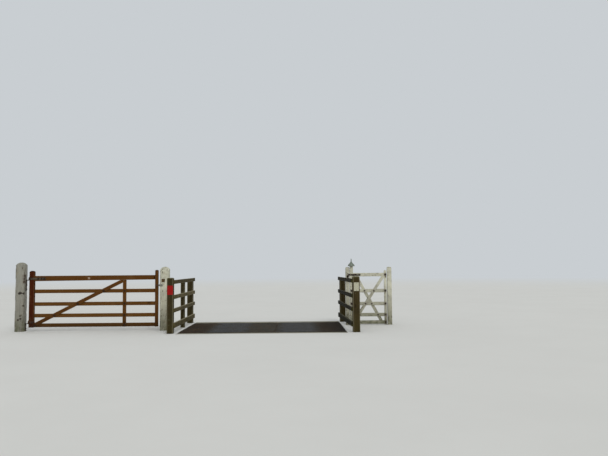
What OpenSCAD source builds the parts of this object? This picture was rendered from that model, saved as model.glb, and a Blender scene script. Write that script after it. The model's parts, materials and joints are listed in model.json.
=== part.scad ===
// Cattle grid with its pit, two wing fences, a field gate beside it and a small walkers' gate.
// Millimetres, +Z up, +Y along the road away from the viewer, +X to the right.
// The origin is the middle of the pit's underside; the road surface is at road_z.

/* [Pit] */
// Height of the road surface above the underside of the pit
road_z = 500; // [350:10:800]
// Width of the pit across the road, outside to outside
pit_w = 3800; // [2600:50:6000]
// Clear length of the grid along the road, kerb to kerb
grid_len = 2500; // [1800:50:4000]
// Width of the kerb at each end of the grid
kerb_w = 220; // [150:10:400]
// Rounded arris of the kerbs
kerb_arris = 15; // [5:1:30]
// Width of the ledge that carries the bearers
ledge_w = 100; // [60:5:200]
// Thickness of the pit floor
floor_t = 100; // [60:10:200]
// Thickness of the side walls of the pit
side_t = 150; // [100:10:250]

/* [Grid panels] */
// Number of bars across the road
bar_n = 13; // [9:1:18]
// Depth of a bar
bar_h = 80; // [60:5:120]
// Width of a bar's flange
bar_w = 60; // [40:2:80]
// Thickness of a bar's flange
bar_flange = 9; // [6:1:14]
// Thickness of a bar's web
bar_web = 8; // [5:1:12]
// Radius of the fillet between a bar's web and flange
bar_root = 7; // [3:1:12]
// Place of the joint between the two panels
joint_x = 280; // [-500:10:500]
// Gap between the two panels
joint_gap = 10; // [5:1:30]
// Gap between the panel ends and the outside of the pit
end_gap = 4; // [2:1:20]
// Thickness of the plate that closes the bar ends
end_plate_t = 10; // [6:1:16]
// Number of bearers under each panel
bearer_n = 3; // [2:1:5]
// Depth of a bearer
bearer_h = 150; // [100:5:200]
// Width of a bearer's flange
bearer_w = 80; // [60:5:120]
// Thickness of a bearer's flange
bearer_flange = 10; // [6:1:16]
// Thickness of a bearer's web
bearer_web = 8; // [6:1:12]
// Radius of the fillet between a bearer's web and flange
bearer_root = 9; // [4:1:14]
// Gap between a bearer's side and the side wall or the joint
bearer_gap = 20; // [10:5:60]
// Gap between a bearer's end and the kerb
bearer_end_gap = 5; // [3:1:20]

/* [Wing fences] */
// Gap between the pit's side and the left wing's road face
wing_l_gap = 24; // [6:2:300]
// Gap between the pit's side and the right wing's road face at its near end
wing_r_gap = 90; // [80:5:400]
// How far the right wing leans in towards the road at its far end, in degrees
wing_r_turn = 2.4; // [0:0.2:5]
// Thickness of the left near post, square
wing_l_post = 142; // [100:2:200]
// Thickness of the right near post, square
wing_r_post = 158; // [100:2:200]
// Thickness of the far posts, square
wing_far_post = 150; // [100:5:200]
// Thickness of the left wing's middle post, square
wing_mid_post = 100; // [75:5:150]
// How far the near posts' middle lies beyond the grid's end
wing_near_run = 50; // [-100:10:600]
// How far the far posts' middle lies short of the grid's end
wing_far_run = 10; // [-600:10:200]
// Place of the left wing's middle post along the road
wing_mid_y = 60; // [-400:10:400]
// Height of the near posts above the road
wing_near_h = 1235; // [900:5:1600]
// Height of the far posts above the road
wing_far_h = 1150; // [900:5:1600]
// Height of the middle post above the road
wing_mid_h = 1165; // [900:5:1600]
// Thickness of the wing rails
wing_rail_t = 38; // [20:1:60]
// Depth of the wing rails
wing_rail_h = 90; // [60:5:150]
// Depth of the bottom wing rail
wing_low_rail_h = 115; // [60:5:200]
// Height of the middle of the bottom wing rail above the road
wing_rail_low = 182; // [100:10:400]
// Height of the middle of the second wing rail above the road
wing_rail_second = 512; // [350:5:650]
// Height of the middle of the third wing rail above the road
wing_rail_third = 808; // [650:5:950]
// Height of the middle of the top wing rail above the road
wing_rail_top = 1140; // [950:5:1250]
// How far the rails run past the middle of the end posts
wing_rail_run = 70; // [40:5:150]
// Gap where the left top rail's two lengths meet on the middle post
rail_butt = 4; // [2:1:12]
// Width of the planed arrises of the sawn posts
post_arris = 6; // [2:1:12]
// Height of the weathered bevel at the post heads
head_rise = 18; // [5:1:50]
// Width of the weathered bevel at the post heads
head_run = 26; // [5:1:60]

/* [Marker plates] */
// Width of the red plate
red_w = 127; // [80:1:200]
// Height of the red plate
red_h = 205; // [100:5:300]
// How far the red plate sits off the post's middle, towards the road
red_side = 6; // [-20:2:20]
// Height of the top of the red plate above the road
red_top = 1062; // [600:2:1200]
// Width of the white plate
white_w = 112; // [80:2:200]
// Height of the white plate
white_h = 190; // [100:5:300]
// Height of the top of the white plate above the road
white_top = 1100; // [600:5:1200]
// Thickness of the plates
plate_t = 4; // [2:1:8]

/* [Field gate posts] */
// Middle plane of the field gate along the road
gate_y = -550; // [-900:10:900]
// Gap between the left wing's posts and the shutting post
shut_wing_gap = 106; // [20:2:400]
// Distance from the hinge line to the hanging post
gate_post_gap = 66; // [50:1:90]
// Width of the hanging post
hang_w = 230; // [180:5:350]
// Height of the hanging post above the road
hang_h = 1610; // [1200:10:2000]
// Width of the shutting post
shut_w = 215; // [150:5:300]
// Height of the shutting post above the road
shut_h = 1485; // [1200:10:1900]
// Radius of the hanging post's corners
hang_r = 75; // [20:5:85]
// Radius of the shutting post's corners
shut_r = 60; // [15:5:75]
// Radius of the hanging post's rounded head, as a share of its reach to the corners
hang_round = 1.15; // [1.02:0.01:1.5]
// Radius of the shutting post's rounded head, as a share of its reach to the corners
shut_round = 1.02; // [1.02:0.01:1.5]
// Radius of the gates' rounded stile heads, as a share of the stile's width
stile_round = 0.62; // [0.51:0.01:1]
// Gap between the gate and the shutting post
shut_gap = 49; // [35:1:80]

/* [Field gate] */
// Length of the gate from the heel to the toe
gate_w = 3009; // [2400:1:4200]
// Distance from the hinge line to the heel
gate_heel_gap = 17; // [17:1:40]
// Height of the underside of the gate above the road
gate_low = 88; // [40:2:250]
// Height of the stiles above the top rail
gate_horn = 120; // [40:5:200]
// Width of the hanging stile
heel_w = 116; // [80:2:150]
// Width of the slamming stile
toe_w = 72; // [50:2:110]
// Thickness of the stiles and the top rail
gate_t = 75; // [60:1:100]
// Thickness of the lower rails
gate_rail_t = 30; // [20:1:50]
// Depth of the lower rails
gate_rail_h = 88; // [60:2:120]
// How far the stiles run down past the bottom rail
gate_foot = 5; // [0:5:60]
// Gap between the bottom rail and the second
gate_gap_1 = 137; // [80:1:250]
// Gap between the second rail and the third
gate_gap_2 = 180; // [80:5:300]
// Gap between the third rail and the fourth
gate_gap_3 = 209; // [80:1:300]
// Gap between the fourth rail and the top rail's edge at the heel
gate_gap_4 = 194; // [80:1:300]
// Depth of the top rail at the heel
gate_top_deep = 125; // [80:5:160]
// Depth of the top rail at the toe
gate_top_slim = 105; // [60:5:120]
// Width of the brace
gate_brace_w = 85; // [50:5:120]
// Thickness of the brace and the upright
gate_brace_t = 22; // [15:1:30]
// Distance from the toe to the upright
upright_x = 740; // [400:10:1500]
// Width of the upright
upright_w = 85; // [50:5:120]

/* [Field gate ironwork] */
// Radius of the hook pins
pin_r = 10; // [8:1:14]
// Clearance round the pins
pin_gap = 0.5; // [0.3:0.1:1]
// Radius of the hinge eyes
eye_r = 16; // [14:1:20]
// Height of the hinge eyes and straps
strap_h = 45; // [30:5:70]
// Thickness of the straps
strap_t = 5; // [4:1:8]
// Distance of the middle of the top strap below the top rail's edge
strap_drop = 66; // [25:1:90]
// Distance of the middle of the bottom strap above the gate's underside
strap_up = 120; // [40:5:300]
// Length of the pins above the eyes
pin_head = 20; // [5:1:40]
// Reach of the top strap from the heel
strap_reach = 380; // [200:10:700]
// Length of the plate that carries a hook
hook_plate_h = 260; // [150:10:400]
// Width of the plate that carries a hook
hook_plate_w = 60; // [40:5:100]
// Thickness of the plate that carries a hook
hook_plate_t = 6; // [5:1:8]
// Height of the latch and its catch above the road
latch_z = 1050; // [700:10:1200]
// Height of the latch
latch_h = 28; // [30:2:80]
// Thickness of the latch
latch_t = 12; // [8:1:20]
// Height of the latch's tongue
tongue_h = 12; // [8:1:20]
// Gap between the tongue and the catch
tongue_gap = 14; // [6:1:30]
// Gap between the tongue and the stop behind it
stop_gap = 8; // [6:1:20]
// Height of the catch
catch_h = 46; // [40:2:100]
// Width of the catch on the post's near face
catch_w = 75; // [60:5:150]
// Thickness of the catch
catch_t = 6; // [4:1:10]
// Width of the square plate
square_w = 76; // [50:2:120]
// Thickness of the square plate
square_t = 3; // [1:1:6]
// Distance of the square plate from the post's edge
square_side = 48; // [0:2:100]
// Gap between the catch and the square plate above it
square_gap = 50; // [10:2:120]

/* [Walkers gate posts] */
// Near face of the walkers' gate's posts along the road
wicket_y = 305; // [-600:5:900]
// How far the gate's near face stands out in front of its posts
wicket_proud = 8; // [6:1:20]
// Gap between the right wing's road face and the hanging post
wicket_wing_gap = 20; // [0:2:400]
// Thickness of the hanging post
wicket_hang_w = 96; // [80:2:160]
// Thickness of the slamming post
wicket_slam_w = 110; // [90:5:200]
// Height of both posts above the road
wicket_post_h = 1442; // [1100:2:1800]
// Depth of the bevel round the post heads
wicket_bevel = 22; // [10:1:40]

/* [Walkers gate] */
// Gap between the hanging post and the gate
wicket_gap = 8; // [8:1:30]
// Gap between the gate and the slamming post
wicket_slam_gap = 22; // [15:1:40]
// Width of the gate
wicket_w = 920; // [700:10:1500]
// Height of the underside of the stiles above the road
wicket_low = 12; // [10:2:200]
// Height of the slamming stile above the top rail
wicket_toe_horn = 64; // [20:1:150]
// How far the hanging stile's head stands above its post
wicket_horn = 20; // [10:1:60]
// Width of the hanging stile
wicket_heel_w = 84; // [60:2:120]
// Width of the slamming stile
wicket_toe_w = 58; // [50:2:100]
// Thickness of the stiles
wicket_t = 70; // [60:1:90]
// Thickness of the rails
wicket_rail_t = 28; // [20:1:40]
// Depth of the rails
wicket_rail_h = 88; // [60:2:110]
// How far the stiles run down past the bottom rail
wicket_foot = 8; // [0:2:60]
// Gap between the bottom rail and the second
wicket_gap_1 = 97; // [60:1:250]
// Gap between the second rail and the third
wicket_gap_2 = 188; // [80:1:300]
// Gap between the third rail and the fourth
wicket_gap_3 = 233; // [80:1:350]
// Gap between the fourth rail and the top rail
wicket_gap_4 = 313; // [80:1:400]
// Width of the two braces
wicket_brace_w = 75; // [50:5:100]
// How far the back brace's ends stand off the stiles
wicket_brace_inset = 60; // [0:5:120]
// Thickness of the two braces
wicket_brace_t = 20; // [15:1:25]
// Distance of the hinge line in front of the gate
wicket_axis_gap = 22; // [20:1:40]
// Distance of the hinge line from the gate's heel
wicket_axis_x = 50; // [30:1:80]
// Reach of the straps from the heel
wicket_reach = 270; // [150:10:500]
// Radius of the hook pins
wicket_pin_r = 8; // [6:1:12]
// Radius of the hinge eyes
wicket_eye_r = 14; // [12:1:18]
// Height of the plates that carry the hooks
wicket_plate_h = 60; // [40:5:120]
// Width of the plates that carry the hooks
wicket_plate_w = 48; // [30:2:70]
// Width of the pointed cap
cap_w = 176; // [100:2:220]
// Height of the pointed cap
cap_h = 190; // [100:5:300]
// Depth of the pointed cap's rim
cap_rim = 8; // [3:1:20]

/* [Hidden] */
// Number of facets of the round parts
$fn = 48;
// Tiny overlap of cutting solids
eps = 1;
kerb_y = grid_len / 2;
bar_gap = (grid_len - bar_n * bar_w) / (bar_n + 1);
bar_z = road_z - bar_h;
ledge_z = bar_z - bearer_h;
side_in = pit_w / 2 - side_t;
// Wing fences
wing_l_x = pit_w / 2 + wing_l_gap;
wing_r_x = pit_w / 2 + wing_r_gap;
wing_near_y = -kerb_y - wing_near_run;
wing_far_y = kerb_y - wing_far_run;
wing_rail_z = [wing_rail_low, wing_rail_second, wing_rail_third, wing_rail_top];
// Field gate, from the shutting post to the hanging post
shut_x = -wing_l_x - wing_rail_t - wing_l_post - shut_wing_gap - shut_w / 2;
gate_toe_x = shut_x - shut_w / 2 - shut_gap;
gate_heel_x = gate_toe_x - gate_w;
gate_axis_x = gate_heel_x - gate_heel_gap;
hang_x = gate_axis_x - gate_post_gap - hang_w / 2;
gate_face = gate_y - gate_t / 2;
gate_z1 = gate_low + gate_foot + gate_rail_h / 2;
gate_z2 = gate_z1 + gate_rail_h + gate_gap_1;
gate_z3 = gate_z2 + gate_rail_h + gate_gap_2;
gate_z4 = gate_z3 + gate_rail_h + gate_gap_3;
gate_rail_z = [gate_z1, gate_z2, gate_z3, gate_z4];
gate_rail_top = gate_z4 + gate_rail_h / 2 + gate_gap_4 + gate_top_deep;
gate_top = gate_rail_top + gate_horn;
strap_top_z = gate_rail_top - strap_drop;
strap_low_z = gate_low + strap_up;
// Walkers' gate, from the wing to the slamming post
wicket_x = wing_r_x + wicket_wing_gap;
wicket_heel_x = wicket_x + wicket_hang_w + wicket_gap;
wicket_toe_x = wicket_heel_x + wicket_w;
wicket_pin_x = wicket_heel_x - wicket_axis_x;
wicket_face = wicket_y - wicket_proud;
wicket_mid = wicket_face + wicket_t / 2;
wicket_pin_y = wicket_face - wicket_axis_gap;
wicket_slam_x = wicket_toe_x + wicket_slam_gap + wicket_slam_w / 2;
wicket_z1 = wicket_low + wicket_foot + wicket_rail_h / 2;
wicket_z2 = wicket_z1 + wicket_rail_h + wicket_gap_1;
wicket_z3 = wicket_z2 + wicket_rail_h + wicket_gap_2;
wicket_z4 = wicket_z3 + wicket_rail_h + wicket_gap_3;
wicket_z5 = wicket_z4 + wicket_rail_h + wicket_gap_4;
wicket_rail_z = [wicket_z1, wicket_z2, wicket_z3, wicket_z4, wicket_z5];
wicket_top = wicket_z5 + wicket_rail_h / 2 + wicket_toe_horn;
wicket_head = wicket_post_h + wicket_horn;
wicket_hinge_z = [wicket_z2, wicket_z5];
// Colours of the materials
c_concrete = [0.62, 0.62, 0.58];
c_rust = [0.28, 0.21, 0.18];
c_iron = [0.16, 0.16, 0.16];
c_white = [0.78, 0.77, 0.70];
c_brown = [0.42, 0.25, 0.14];
c_weathered = [0.33, 0.31, 0.24];

// A box between two corners
module block(a, b) {
  translate(a)
    cube(b - a);
}

// Profile of a rolled joist with its root fillets, its foot on the X axis
module joist(w, h, flange, web, root) {
  translate([-w / 2, 0])
    square([w, flange]);
  translate([-w / 2, h - flange])
    square([w, flange]);
  translate([-web / 2, 0])
    square([web, h]);
  for (x = [0, 1], y = [0, 1])
    mirror([x, 0])
      translate([0, y * h])
        mirror([0, y])
          translate([web / 2, flange])
            difference() {
              square(root);
              translate([root, root])
                circle(r = root, $fn = 24);
            }
}

// A square with rounded corners
module soft_square(w, r) {
  square([w - 2 * r, w], center = true);
  square([w, w - 2 * r], center = true);
  for (x = [-1, 1], y = [-1, 1])
    translate([x * (w / 2 - r), y * (w / 2 - r)])
      circle(r = r);
}

// A square with cut corners
module cut_square(w, c) {
  polygon([[-w / 2 + c, -w / 2], [w / 2 - c, -w / 2], [w / 2, -w / 2 + c], [w / 2, w / 2 - c],
    [w / 2 - c, w / 2], [-w / 2 + c, w / 2], [-w / 2, w / 2 - c], [-w / 2, -w / 2 + c]]);
}

// Outline of a post seen from one side, with a head of the given rise and slope
module head_outline(w, h, rise, run) {
  polygon([[-w / 2, 0], [w / 2, 0], [w / 2, h - rise], [w / 2 - run, h],
    [-w / 2 + run, h], [-w / 2, h - rise]]);
}

// Outline with a round head
module dome_outline(w, h, r) {
  translate([-w / 2, 0])
    square([w, h - r]);
  intersection() {
    translate([-w / 2, h - r - eps])
      square([w, r + eps]);
    translate([0, h - r])
      circle(r = r, $fn = 96);
  }
}

// A sawn post from the pit's underside, with a bevelled head
module sawn_post(w, h, rise = head_rise, run = head_run) {
  intersection() {
    linear_extrude(height = h)
      cut_square(w, post_arris);
    rotate([90, 0, 0])
      linear_extrude(height = w + eps, center = true)
        head_outline(w, h, rise, run);
    rotate([90, 0, 90])
      linear_extrude(height = w + eps, center = true)
        head_outline(w, h, rise, run);
  }
}

// A heavy gate post with soft corners and a ball-shaped head that takes in the corners
module domed_post(w, h, r, round_share) {
  ball = round_share * ((w / 2 - r) * sqrt(2) + r);
  intersection() {
    linear_extrude(height = h)
      soft_square(w, r);
    rotate_extrude($fn = 96)
      intersection() {
        square([ball, h]);
        dome_outline(2 * ball, h, ball);
      }
  }
}

module pit_floor() {
  color(c_concrete)
    block([-pit_w / 2, -kerb_y - kerb_w, 0], [pit_w / 2, kerb_y + kerb_w, floor_t]);
}

// The kerb wall with the ledge that carries the bearers
module kerb() {
  color(c_concrete)
    rotate([90, 0, 90])
      linear_extrude(height = pit_w, center = true)
        polygon([[kerb_y - ledge_w, floor_t], [kerb_y + kerb_w, floor_t],
          [kerb_y + kerb_w, road_z - kerb_arris], [kerb_y + kerb_w - kerb_arris, road_z],
          [kerb_y + kerb_arris, road_z], [kerb_y, road_z - kerb_arris], [kerb_y, ledge_z],
          [kerb_y - ledge_w, ledge_z]]);
}

module near_kerb() {
  mirror([0, 1, 0])
    kerb();
}

module far_kerb() {
  kerb();
}

module side_wall() {
  color(c_concrete)
    union() {
      block([side_in, -kerb_y, ledge_z], [pit_w / 2, kerb_y, bar_z]);
      block([side_in, -kerb_y + ledge_w, floor_t], [pit_w / 2, kerb_y - ledge_w, ledge_z]);
    }
}

module left_side_wall() {
  mirror([1, 0, 0])
    side_wall();
}

module right_side_wall() {
  side_wall();
}

// Bearers between two walls or joint lines, standing on the ledges
module bearers(x0, x1) {
  first = x0 + bearer_gap + bearer_w / 2;
  last = x1 - bearer_gap - bearer_w / 2;
  color(c_rust)
    for (i = [0 : bearer_n - 1])
      translate([first + i * (last - first) / (bearer_n - 1), 0, ledge_z])
        rotate([90, 0, 0])
          linear_extrude(height = grid_len - 2 * bearer_end_gap, center = true)
            joist(bearer_w, bearer_h, bearer_flange, bearer_web, bearer_root);
}

module left_bearers() {
  bearers(-side_in, joint_x - joint_gap / 2);
}

module right_bearers() {
  bearers(joint_x + joint_gap / 2, side_in);
}

// Bars across the road, one above the other's gap all along the grid
module bars(x0, x1) {
  color(c_rust)
    for (i = [0 : bar_n - 1])
      translate([x0, -kerb_y + bar_gap + bar_w / 2 + i * (bar_w + bar_gap), bar_z])
        rotate([90, 0, 90])
          linear_extrude(height = x1 - x0)
            joist(bar_w, bar_h, bar_flange, bar_web, bar_root);
}

module left_bars() {
  bars(-pit_w / 2 + end_gap + end_plate_t, joint_x - joint_gap / 2);
}

module right_bars() {
  bars(joint_x + joint_gap / 2, pit_w / 2 - end_gap - end_plate_t);
}

// Plates that close the bars' outer ends
module end_plates() {
  color(c_rust)
    for (m = [0, 1])
      mirror([m, 0, 0])
        block([pit_w / 2 - end_gap - end_plate_t, -kerb_y + bar_gap / 2, bar_z],
          [pit_w / 2 - end_gap, kerb_y - bar_gap / 2, road_z]);
}

// A post of the left wing: its road face is set back by the rail
module left_wing_post(w, h, y) {
  color(c_weathered)
    translate([-wing_l_x - wing_rail_t - w / 2, y, 0])
      sawn_post(w, road_z + h);
}

module left_near_post() {
  left_wing_post(wing_l_post, wing_near_h, wing_near_y);
}

module left_middle_post() {
  left_wing_post(wing_mid_post, wing_mid_h, wing_mid_y);
}

module left_far_post() {
  left_wing_post(wing_far_post, wing_far_h, wing_far_y);
}

// One wing rail between two places along the road, its road face at X = 0
module wing_rail(y0, y1, i) {
  half = (i == 0 ? wing_low_rail_h : wing_rail_h) / 2;
  color(c_weathered)
    block([0, y0, road_z + wing_rail_z[i] - half], [wing_rail_t, y1, road_z + wing_rail_z[i] + half]);
}

module left_wing_rails() {
  mirror([1, 0, 0])
    translate([wing_l_x, 0, 0])
      for (i = [0 : 2])
        wing_rail(wing_near_y - wing_rail_run, wing_far_y + wing_rail_run, i);
}

module left_top_rail() {
  mirror([1, 0, 0])
    translate([wing_l_x, 0, 0]) {
      wing_rail(wing_near_y - wing_rail_run, wing_mid_y - rail_butt / 2, 3);
      wing_rail(wing_mid_y + rail_butt / 2, wing_far_y + wing_rail_run, 3);
    }
}

// The right wing is built square and turned about its near end
module right_wing() {
  translate([wing_r_x, wing_near_y, 0])
    rotate([0, 0, wing_r_turn])
      translate([0, -wing_near_y, 0])
        children();
}

module right_near_post() {
  color(c_weathered)
    right_wing()
      translate([wing_rail_t + wing_r_post / 2, wing_near_y, 0])
        sawn_post(wing_r_post, road_z + wing_near_h);
}

module right_far_post() {
  color(c_weathered)
    right_wing()
      translate([wing_rail_t + wing_far_post / 2, wing_far_y, 0])
        sawn_post(wing_far_post, road_z + wing_far_h);
}

module right_wing_rails() {
  right_wing()
    for (i = [0 : 3])
      wing_rail(wing_near_y - wing_rail_run, wing_far_y + wing_rail_run, i);
}

module red_plate() {
  color([0.58, 0.16, 0.13])
    translate([red_side - wing_l_x - wing_rail_t - wing_l_post / 2, wing_near_y - wing_l_post / 2,
        road_z + red_top])
      block([-red_w / 2, -plate_t, -red_h], [red_w / 2, 0, 0]);
}

module white_plate() {
  color([0.75, 0.76, 0.72])
    right_wing()
      translate([wing_rail_t + wing_r_post / 2, wing_near_y - wing_r_post / 2, road_z + white_top])
        block([-white_w / 2, -plate_t, -white_h], [white_w / 2, 0, 0]);
}

module hanging_post() {
  color(c_white)
    translate([hang_x, gate_y, 0])
      domed_post(hang_w, road_z + hang_h, hang_r, hang_round);
}

module shutting_post() {
  color(c_white)
    translate([shut_x, gate_y, 0])
      domed_post(shut_w, road_z + shut_h, shut_r, shut_round);
}

// Hook on a plate: the pin's shoulder is just under the strap's eye at height z
module hook(z) {
  shoulder = road_z + z - strap_h / 2 - pin_gap;
  arm = 2 * pin_r;
  color(c_iron) {
    block([gate_axis_x - gate_post_gap, gate_y - hook_plate_w / 2, shoulder - hook_plate_h],
      [gate_axis_x - gate_post_gap + hook_plate_t, gate_y + hook_plate_w / 2, shoulder]);
    block([gate_axis_x - gate_post_gap + hook_plate_t - eps, gate_y - arm / 2, shoulder - arm],
      [gate_axis_x, gate_y + arm / 2, shoulder]);
    translate([gate_axis_x, gate_y, shoulder - arm])
      cylinder(r = pin_r, h = arm + strap_h + pin_head);
  }
}

module top_hook() {
  union()
    hook(strap_top_z);
}

module bottom_hook() {
  union()
    hook(strap_low_z);
}

// The flat of a strap along X, from the origin to its rounded end
module strap_blade(reach) {
  rotate([90, 0, 0])
    linear_extrude(height = strap_t, center = true)
      union() {
        square([reach - strap_h / 2, strap_h]);
        translate([reach - strap_h / 2, strap_h / 2])
          circle(r = strap_h / 2);
      }
}

// A band: an eye round the pin and two straps along both faces of the gate
module strap(z, reach) {
  half = gate_t / 2;
  color(c_iron)
    translate([gate_axis_x, gate_y, road_z + z - strap_h / 2])
      difference() {
        union() {
          cylinder(r = eye_r, h = strap_h);
          block([gate_heel_gap - strap_t, -half - strap_t, 0], [gate_heel_gap, half + strap_t, strap_h]);
          for (s = [-1, 1])
            translate([gate_heel_gap - strap_t, s * (half + strap_t / 2), 0])
              strap_blade(strap_t + reach);
        }
        translate([0, 0, -eps])
          cylinder(r = pin_r + pin_gap, h = strap_h + 2 * eps);
      }
}

module top_strap() {
  strap(strap_top_z, strap_reach);
}

module bottom_strap() {
  strap(strap_low_z, heel_w);
}

// Catch bent round the shutting post's near corner, with the stop behind the tongue
module catch_plate() {
  left = shut_x - shut_w / 2;
  near = gate_y - shut_w / 2;
  stop_y = gate_face + stop_gap;
  color(c_iron)
    translate([0, 0, road_z + latch_z - catch_h / 2])
      union() {
        block([left - catch_t, near - catch_t, 0], [left + catch_w, near, catch_h]);
        block([left - catch_t, near - catch_t, 0], [left, stop_y + catch_t, catch_h]);
        block([left - catch_t - tongue_gap - tongue_h, stop_y, 0], [left, stop_y + catch_t, catch_h]);
      }
}

module square_plate() {
  color([0.55, 0.45, 0.15])
    translate([square_side + shut_x - shut_w / 2, gate_y - shut_w / 2,
        road_z + latch_z + catch_h / 2 + square_gap])
      block([0, -square_t, 0], [square_w, 0, square_w]);
}

// A gate stile with a rounded head
module stile(x0, w) {
  color(c_brown)
    translate([x0 + w / 2, gate_y, road_z + gate_low])
      rotate([90, 0, 0])
        linear_extrude(height = gate_t, center = true)
          dome_outline(w, gate_top - gate_low, w * stile_round);
}

module gate_heel() {
  stile(gate_heel_x, heel_w);
}

module gate_toe() {
  stile(gate_toe_x - toe_w, toe_w);
}

// Outline of the tapered top rail, seen from the road
module top_rail_outline() {
  x0 = gate_heel_x + heel_w;
  x1 = gate_toe_x - toe_w;
  top = road_z + gate_rail_top;
  polygon([[x0, top], [x1, top], [x1, top - gate_top_slim], [x0, top - gate_top_deep]]);
}

module gate_top_rail() {
  color(c_brown)
    translate([0, gate_y, 0])
      rotate([90, 0, 0])
        linear_extrude(height = gate_t, center = true)
          top_rail_outline();
}

module gate_rails() {
  color(c_brown)
    for (z = gate_rail_z)
      block([gate_heel_x + heel_w, gate_y - gate_rail_t / 2, road_z + z - gate_rail_h / 2],
        [gate_toe_x - toe_w, gate_y + gate_rail_t / 2, road_z + z + gate_rail_h / 2]);
}

// Everything under the top rail, between the heel and the upright
module under_top_rail(x1) {
  x0 = gate_heel_x + heel_w;
  run = gate_toe_x - toe_w - x0;
  low = road_z + gate_rail_z[0] - gate_rail_h / 2;
  top = road_z + gate_rail_top - gate_top_deep;
  rise = (gate_top_deep - gate_top_slim) * (x1 - x0) / run;
  polygon([[x0, low], [x1, low], [x1, top + rise], [x0, top]]);
}

module gate_upright() {
  x1 = gate_toe_x - upright_x;
  color(c_brown)
    translate([0, gate_y - gate_rail_t / 2, 0])
      rotate([90, 0, 0])
        linear_extrude(height = gate_brace_t)
          intersection() {
            under_top_rail(gate_toe_x - toe_w);
            translate([x1 - upright_w, road_z])
              square([upright_w, gate_top]);
          }
}

// The brace rises from the heel's foot to the head of the upright
module gate_brace() {
  x0 = gate_heel_x + heel_w;
  x1 = gate_toe_x - upright_x - upright_w;
  z0 = road_z + gate_rail_z[0];
  z1 = road_z + gate_rail_top - gate_top_deep;
  lean = atan2(z1 - z0, x1 - x0);
  color(c_brown)
    translate([0, gate_y - gate_rail_t / 2, 0])
      rotate([90, 0, 0])
        linear_extrude(height = gate_brace_t)
          intersection() {
            under_top_rail(x1);
            translate([x0, z0])
              rotate(lean)
                translate([-gate_w, -gate_brace_w / 2])
                  square([3 * gate_w, gate_brace_w]);
          }
}

// Spring latch on the toe, its tongue short of the catch
module gate_latch() {
  color(c_iron)
    translate([gate_toe_x, gate_face, road_z + latch_z])
      union() {
        block([post_arris - toe_w, -latch_t, -latch_h / 2], [0, 0, latch_h / 2]);
        block([-toe_w / 2, -latch_t, -tongue_h / 2],
          [shut_gap - catch_t - tongue_gap, 0, tongue_h / 2]);
      }
}

// A post of the walkers' gate
module wicket_post(x, w) {
  color(c_white)
    translate([x, wicket_y + w / 2, 0])
      sawn_post(w, road_z + wicket_post_h, wicket_bevel, wicket_bevel);
}

module wicket_hanging_post() {
  wicket_post(wicket_x + wicket_hang_w / 2, wicket_hang_w);
}

module wicket_slam_post() {
  wicket_post(wicket_slam_x, wicket_slam_w);
}

// Hooks on plates on the near face of the hanging post
module wicket_hooks() {
  arm = 2 * wicket_pin_r;
  color(c_iron)
    for (z = wicket_hinge_z)
      translate([wicket_pin_x, 0, road_z + z - strap_h / 2 - pin_gap])
        union() {
          translate([0, wicket_pin_y, -arm])
            cylinder(r = wicket_pin_r, h = arm + strap_h + pin_head);
          block([-arm / 2, wicket_pin_y, -arm], [arm / 2, wicket_y, 0]);
          block([-wicket_plate_w / 2, wicket_y - strap_t, -wicket_plate_h],
            [wicket_plate_w / 2, wicket_y, 0]);
        }
}

module wicket_stile(x0, w, top) {
  color(c_white)
    translate([x0, wicket_face, road_z + wicket_low])
      cube([w, wicket_t, top - wicket_low]);
}

module wicket_heel() {
  wicket_stile(wicket_heel_x, wicket_heel_w, wicket_head);
}

module wicket_toe() {
  color(c_white)
    translate([wicket_toe_x - wicket_toe_w / 2, wicket_mid, road_z + wicket_low])
      rotate([90, 0, 0])
        linear_extrude(height = wicket_t, center = true)
          dome_outline(wicket_toe_w, wicket_top - wicket_low, wicket_toe_w * stile_round);
}

module wicket_rails() {
  color(c_white)
    for (z = wicket_rail_z)
      block([wicket_heel_x + wicket_heel_w, wicket_mid - wicket_rail_t / 2, road_z + z - wicket_rail_h / 2],
        [wicket_toe_x - wicket_toe_w, wicket_mid + wicket_rail_t / 2, road_z + z + wicket_rail_h / 2]);
}

// A brace from the bottom rail to the top rail, drawn rising to the right
module wicket_brace(flip, inset) {
  x0 = wicket_heel_x + wicket_heel_w;
  x1 = wicket_toe_x - wicket_toe_w;
  z0 = road_z + wicket_rail_z[0] - wicket_rail_h / 2;
  z1 = road_z + wicket_rail_z[4] + wicket_rail_h / 2;
  lean = atan2(z1 - z0 - wicket_rail_h, x1 - x0 - 2 * inset);
  color(c_white)
    rotate([90, 0, 0])
      linear_extrude(height = wicket_brace_t)
        intersection() {
          translate([x0, z0])
            square([x1 - x0, z1 - z0]);
          translate([(x0 + x1) / 2, (z0 + z1) / 2])
            rotate(flip * lean)
              square([3 * wicket_w, wicket_brace_w], center = true);
        }
}

module wicket_front_brace() {
  translate([0, wicket_mid - wicket_rail_t / 2, 0])
    wicket_brace(1, 0);
}

module wicket_back_brace() {
  translate([0, wicket_mid + wicket_rail_t / 2 + wicket_brace_t, 0])
    wicket_brace(-1, wicket_brace_inset);
}

// Straps on the near face, each with an eye round its hook
module wicket_straps() {
  color(c_iron)
    for (z = wicket_hinge_z)
      translate([wicket_pin_x, 0, road_z + z - strap_h / 2])
        difference() {
          union() {
            translate([0, wicket_pin_y, 0])
              cylinder(r = wicket_eye_r, h = strap_h);
            translate([0, wicket_face - strap_t / 2, 0])
              strap_blade(wicket_axis_x + wicket_reach);
            block([0, wicket_pin_y, 0], [wicket_eye_r, wicket_face, strap_h]);
          }
          translate([0, wicket_pin_y, -eps])
            cylinder(r = wicket_pin_r + pin_gap, h = strap_h + 2 * eps);
        }
}

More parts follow.
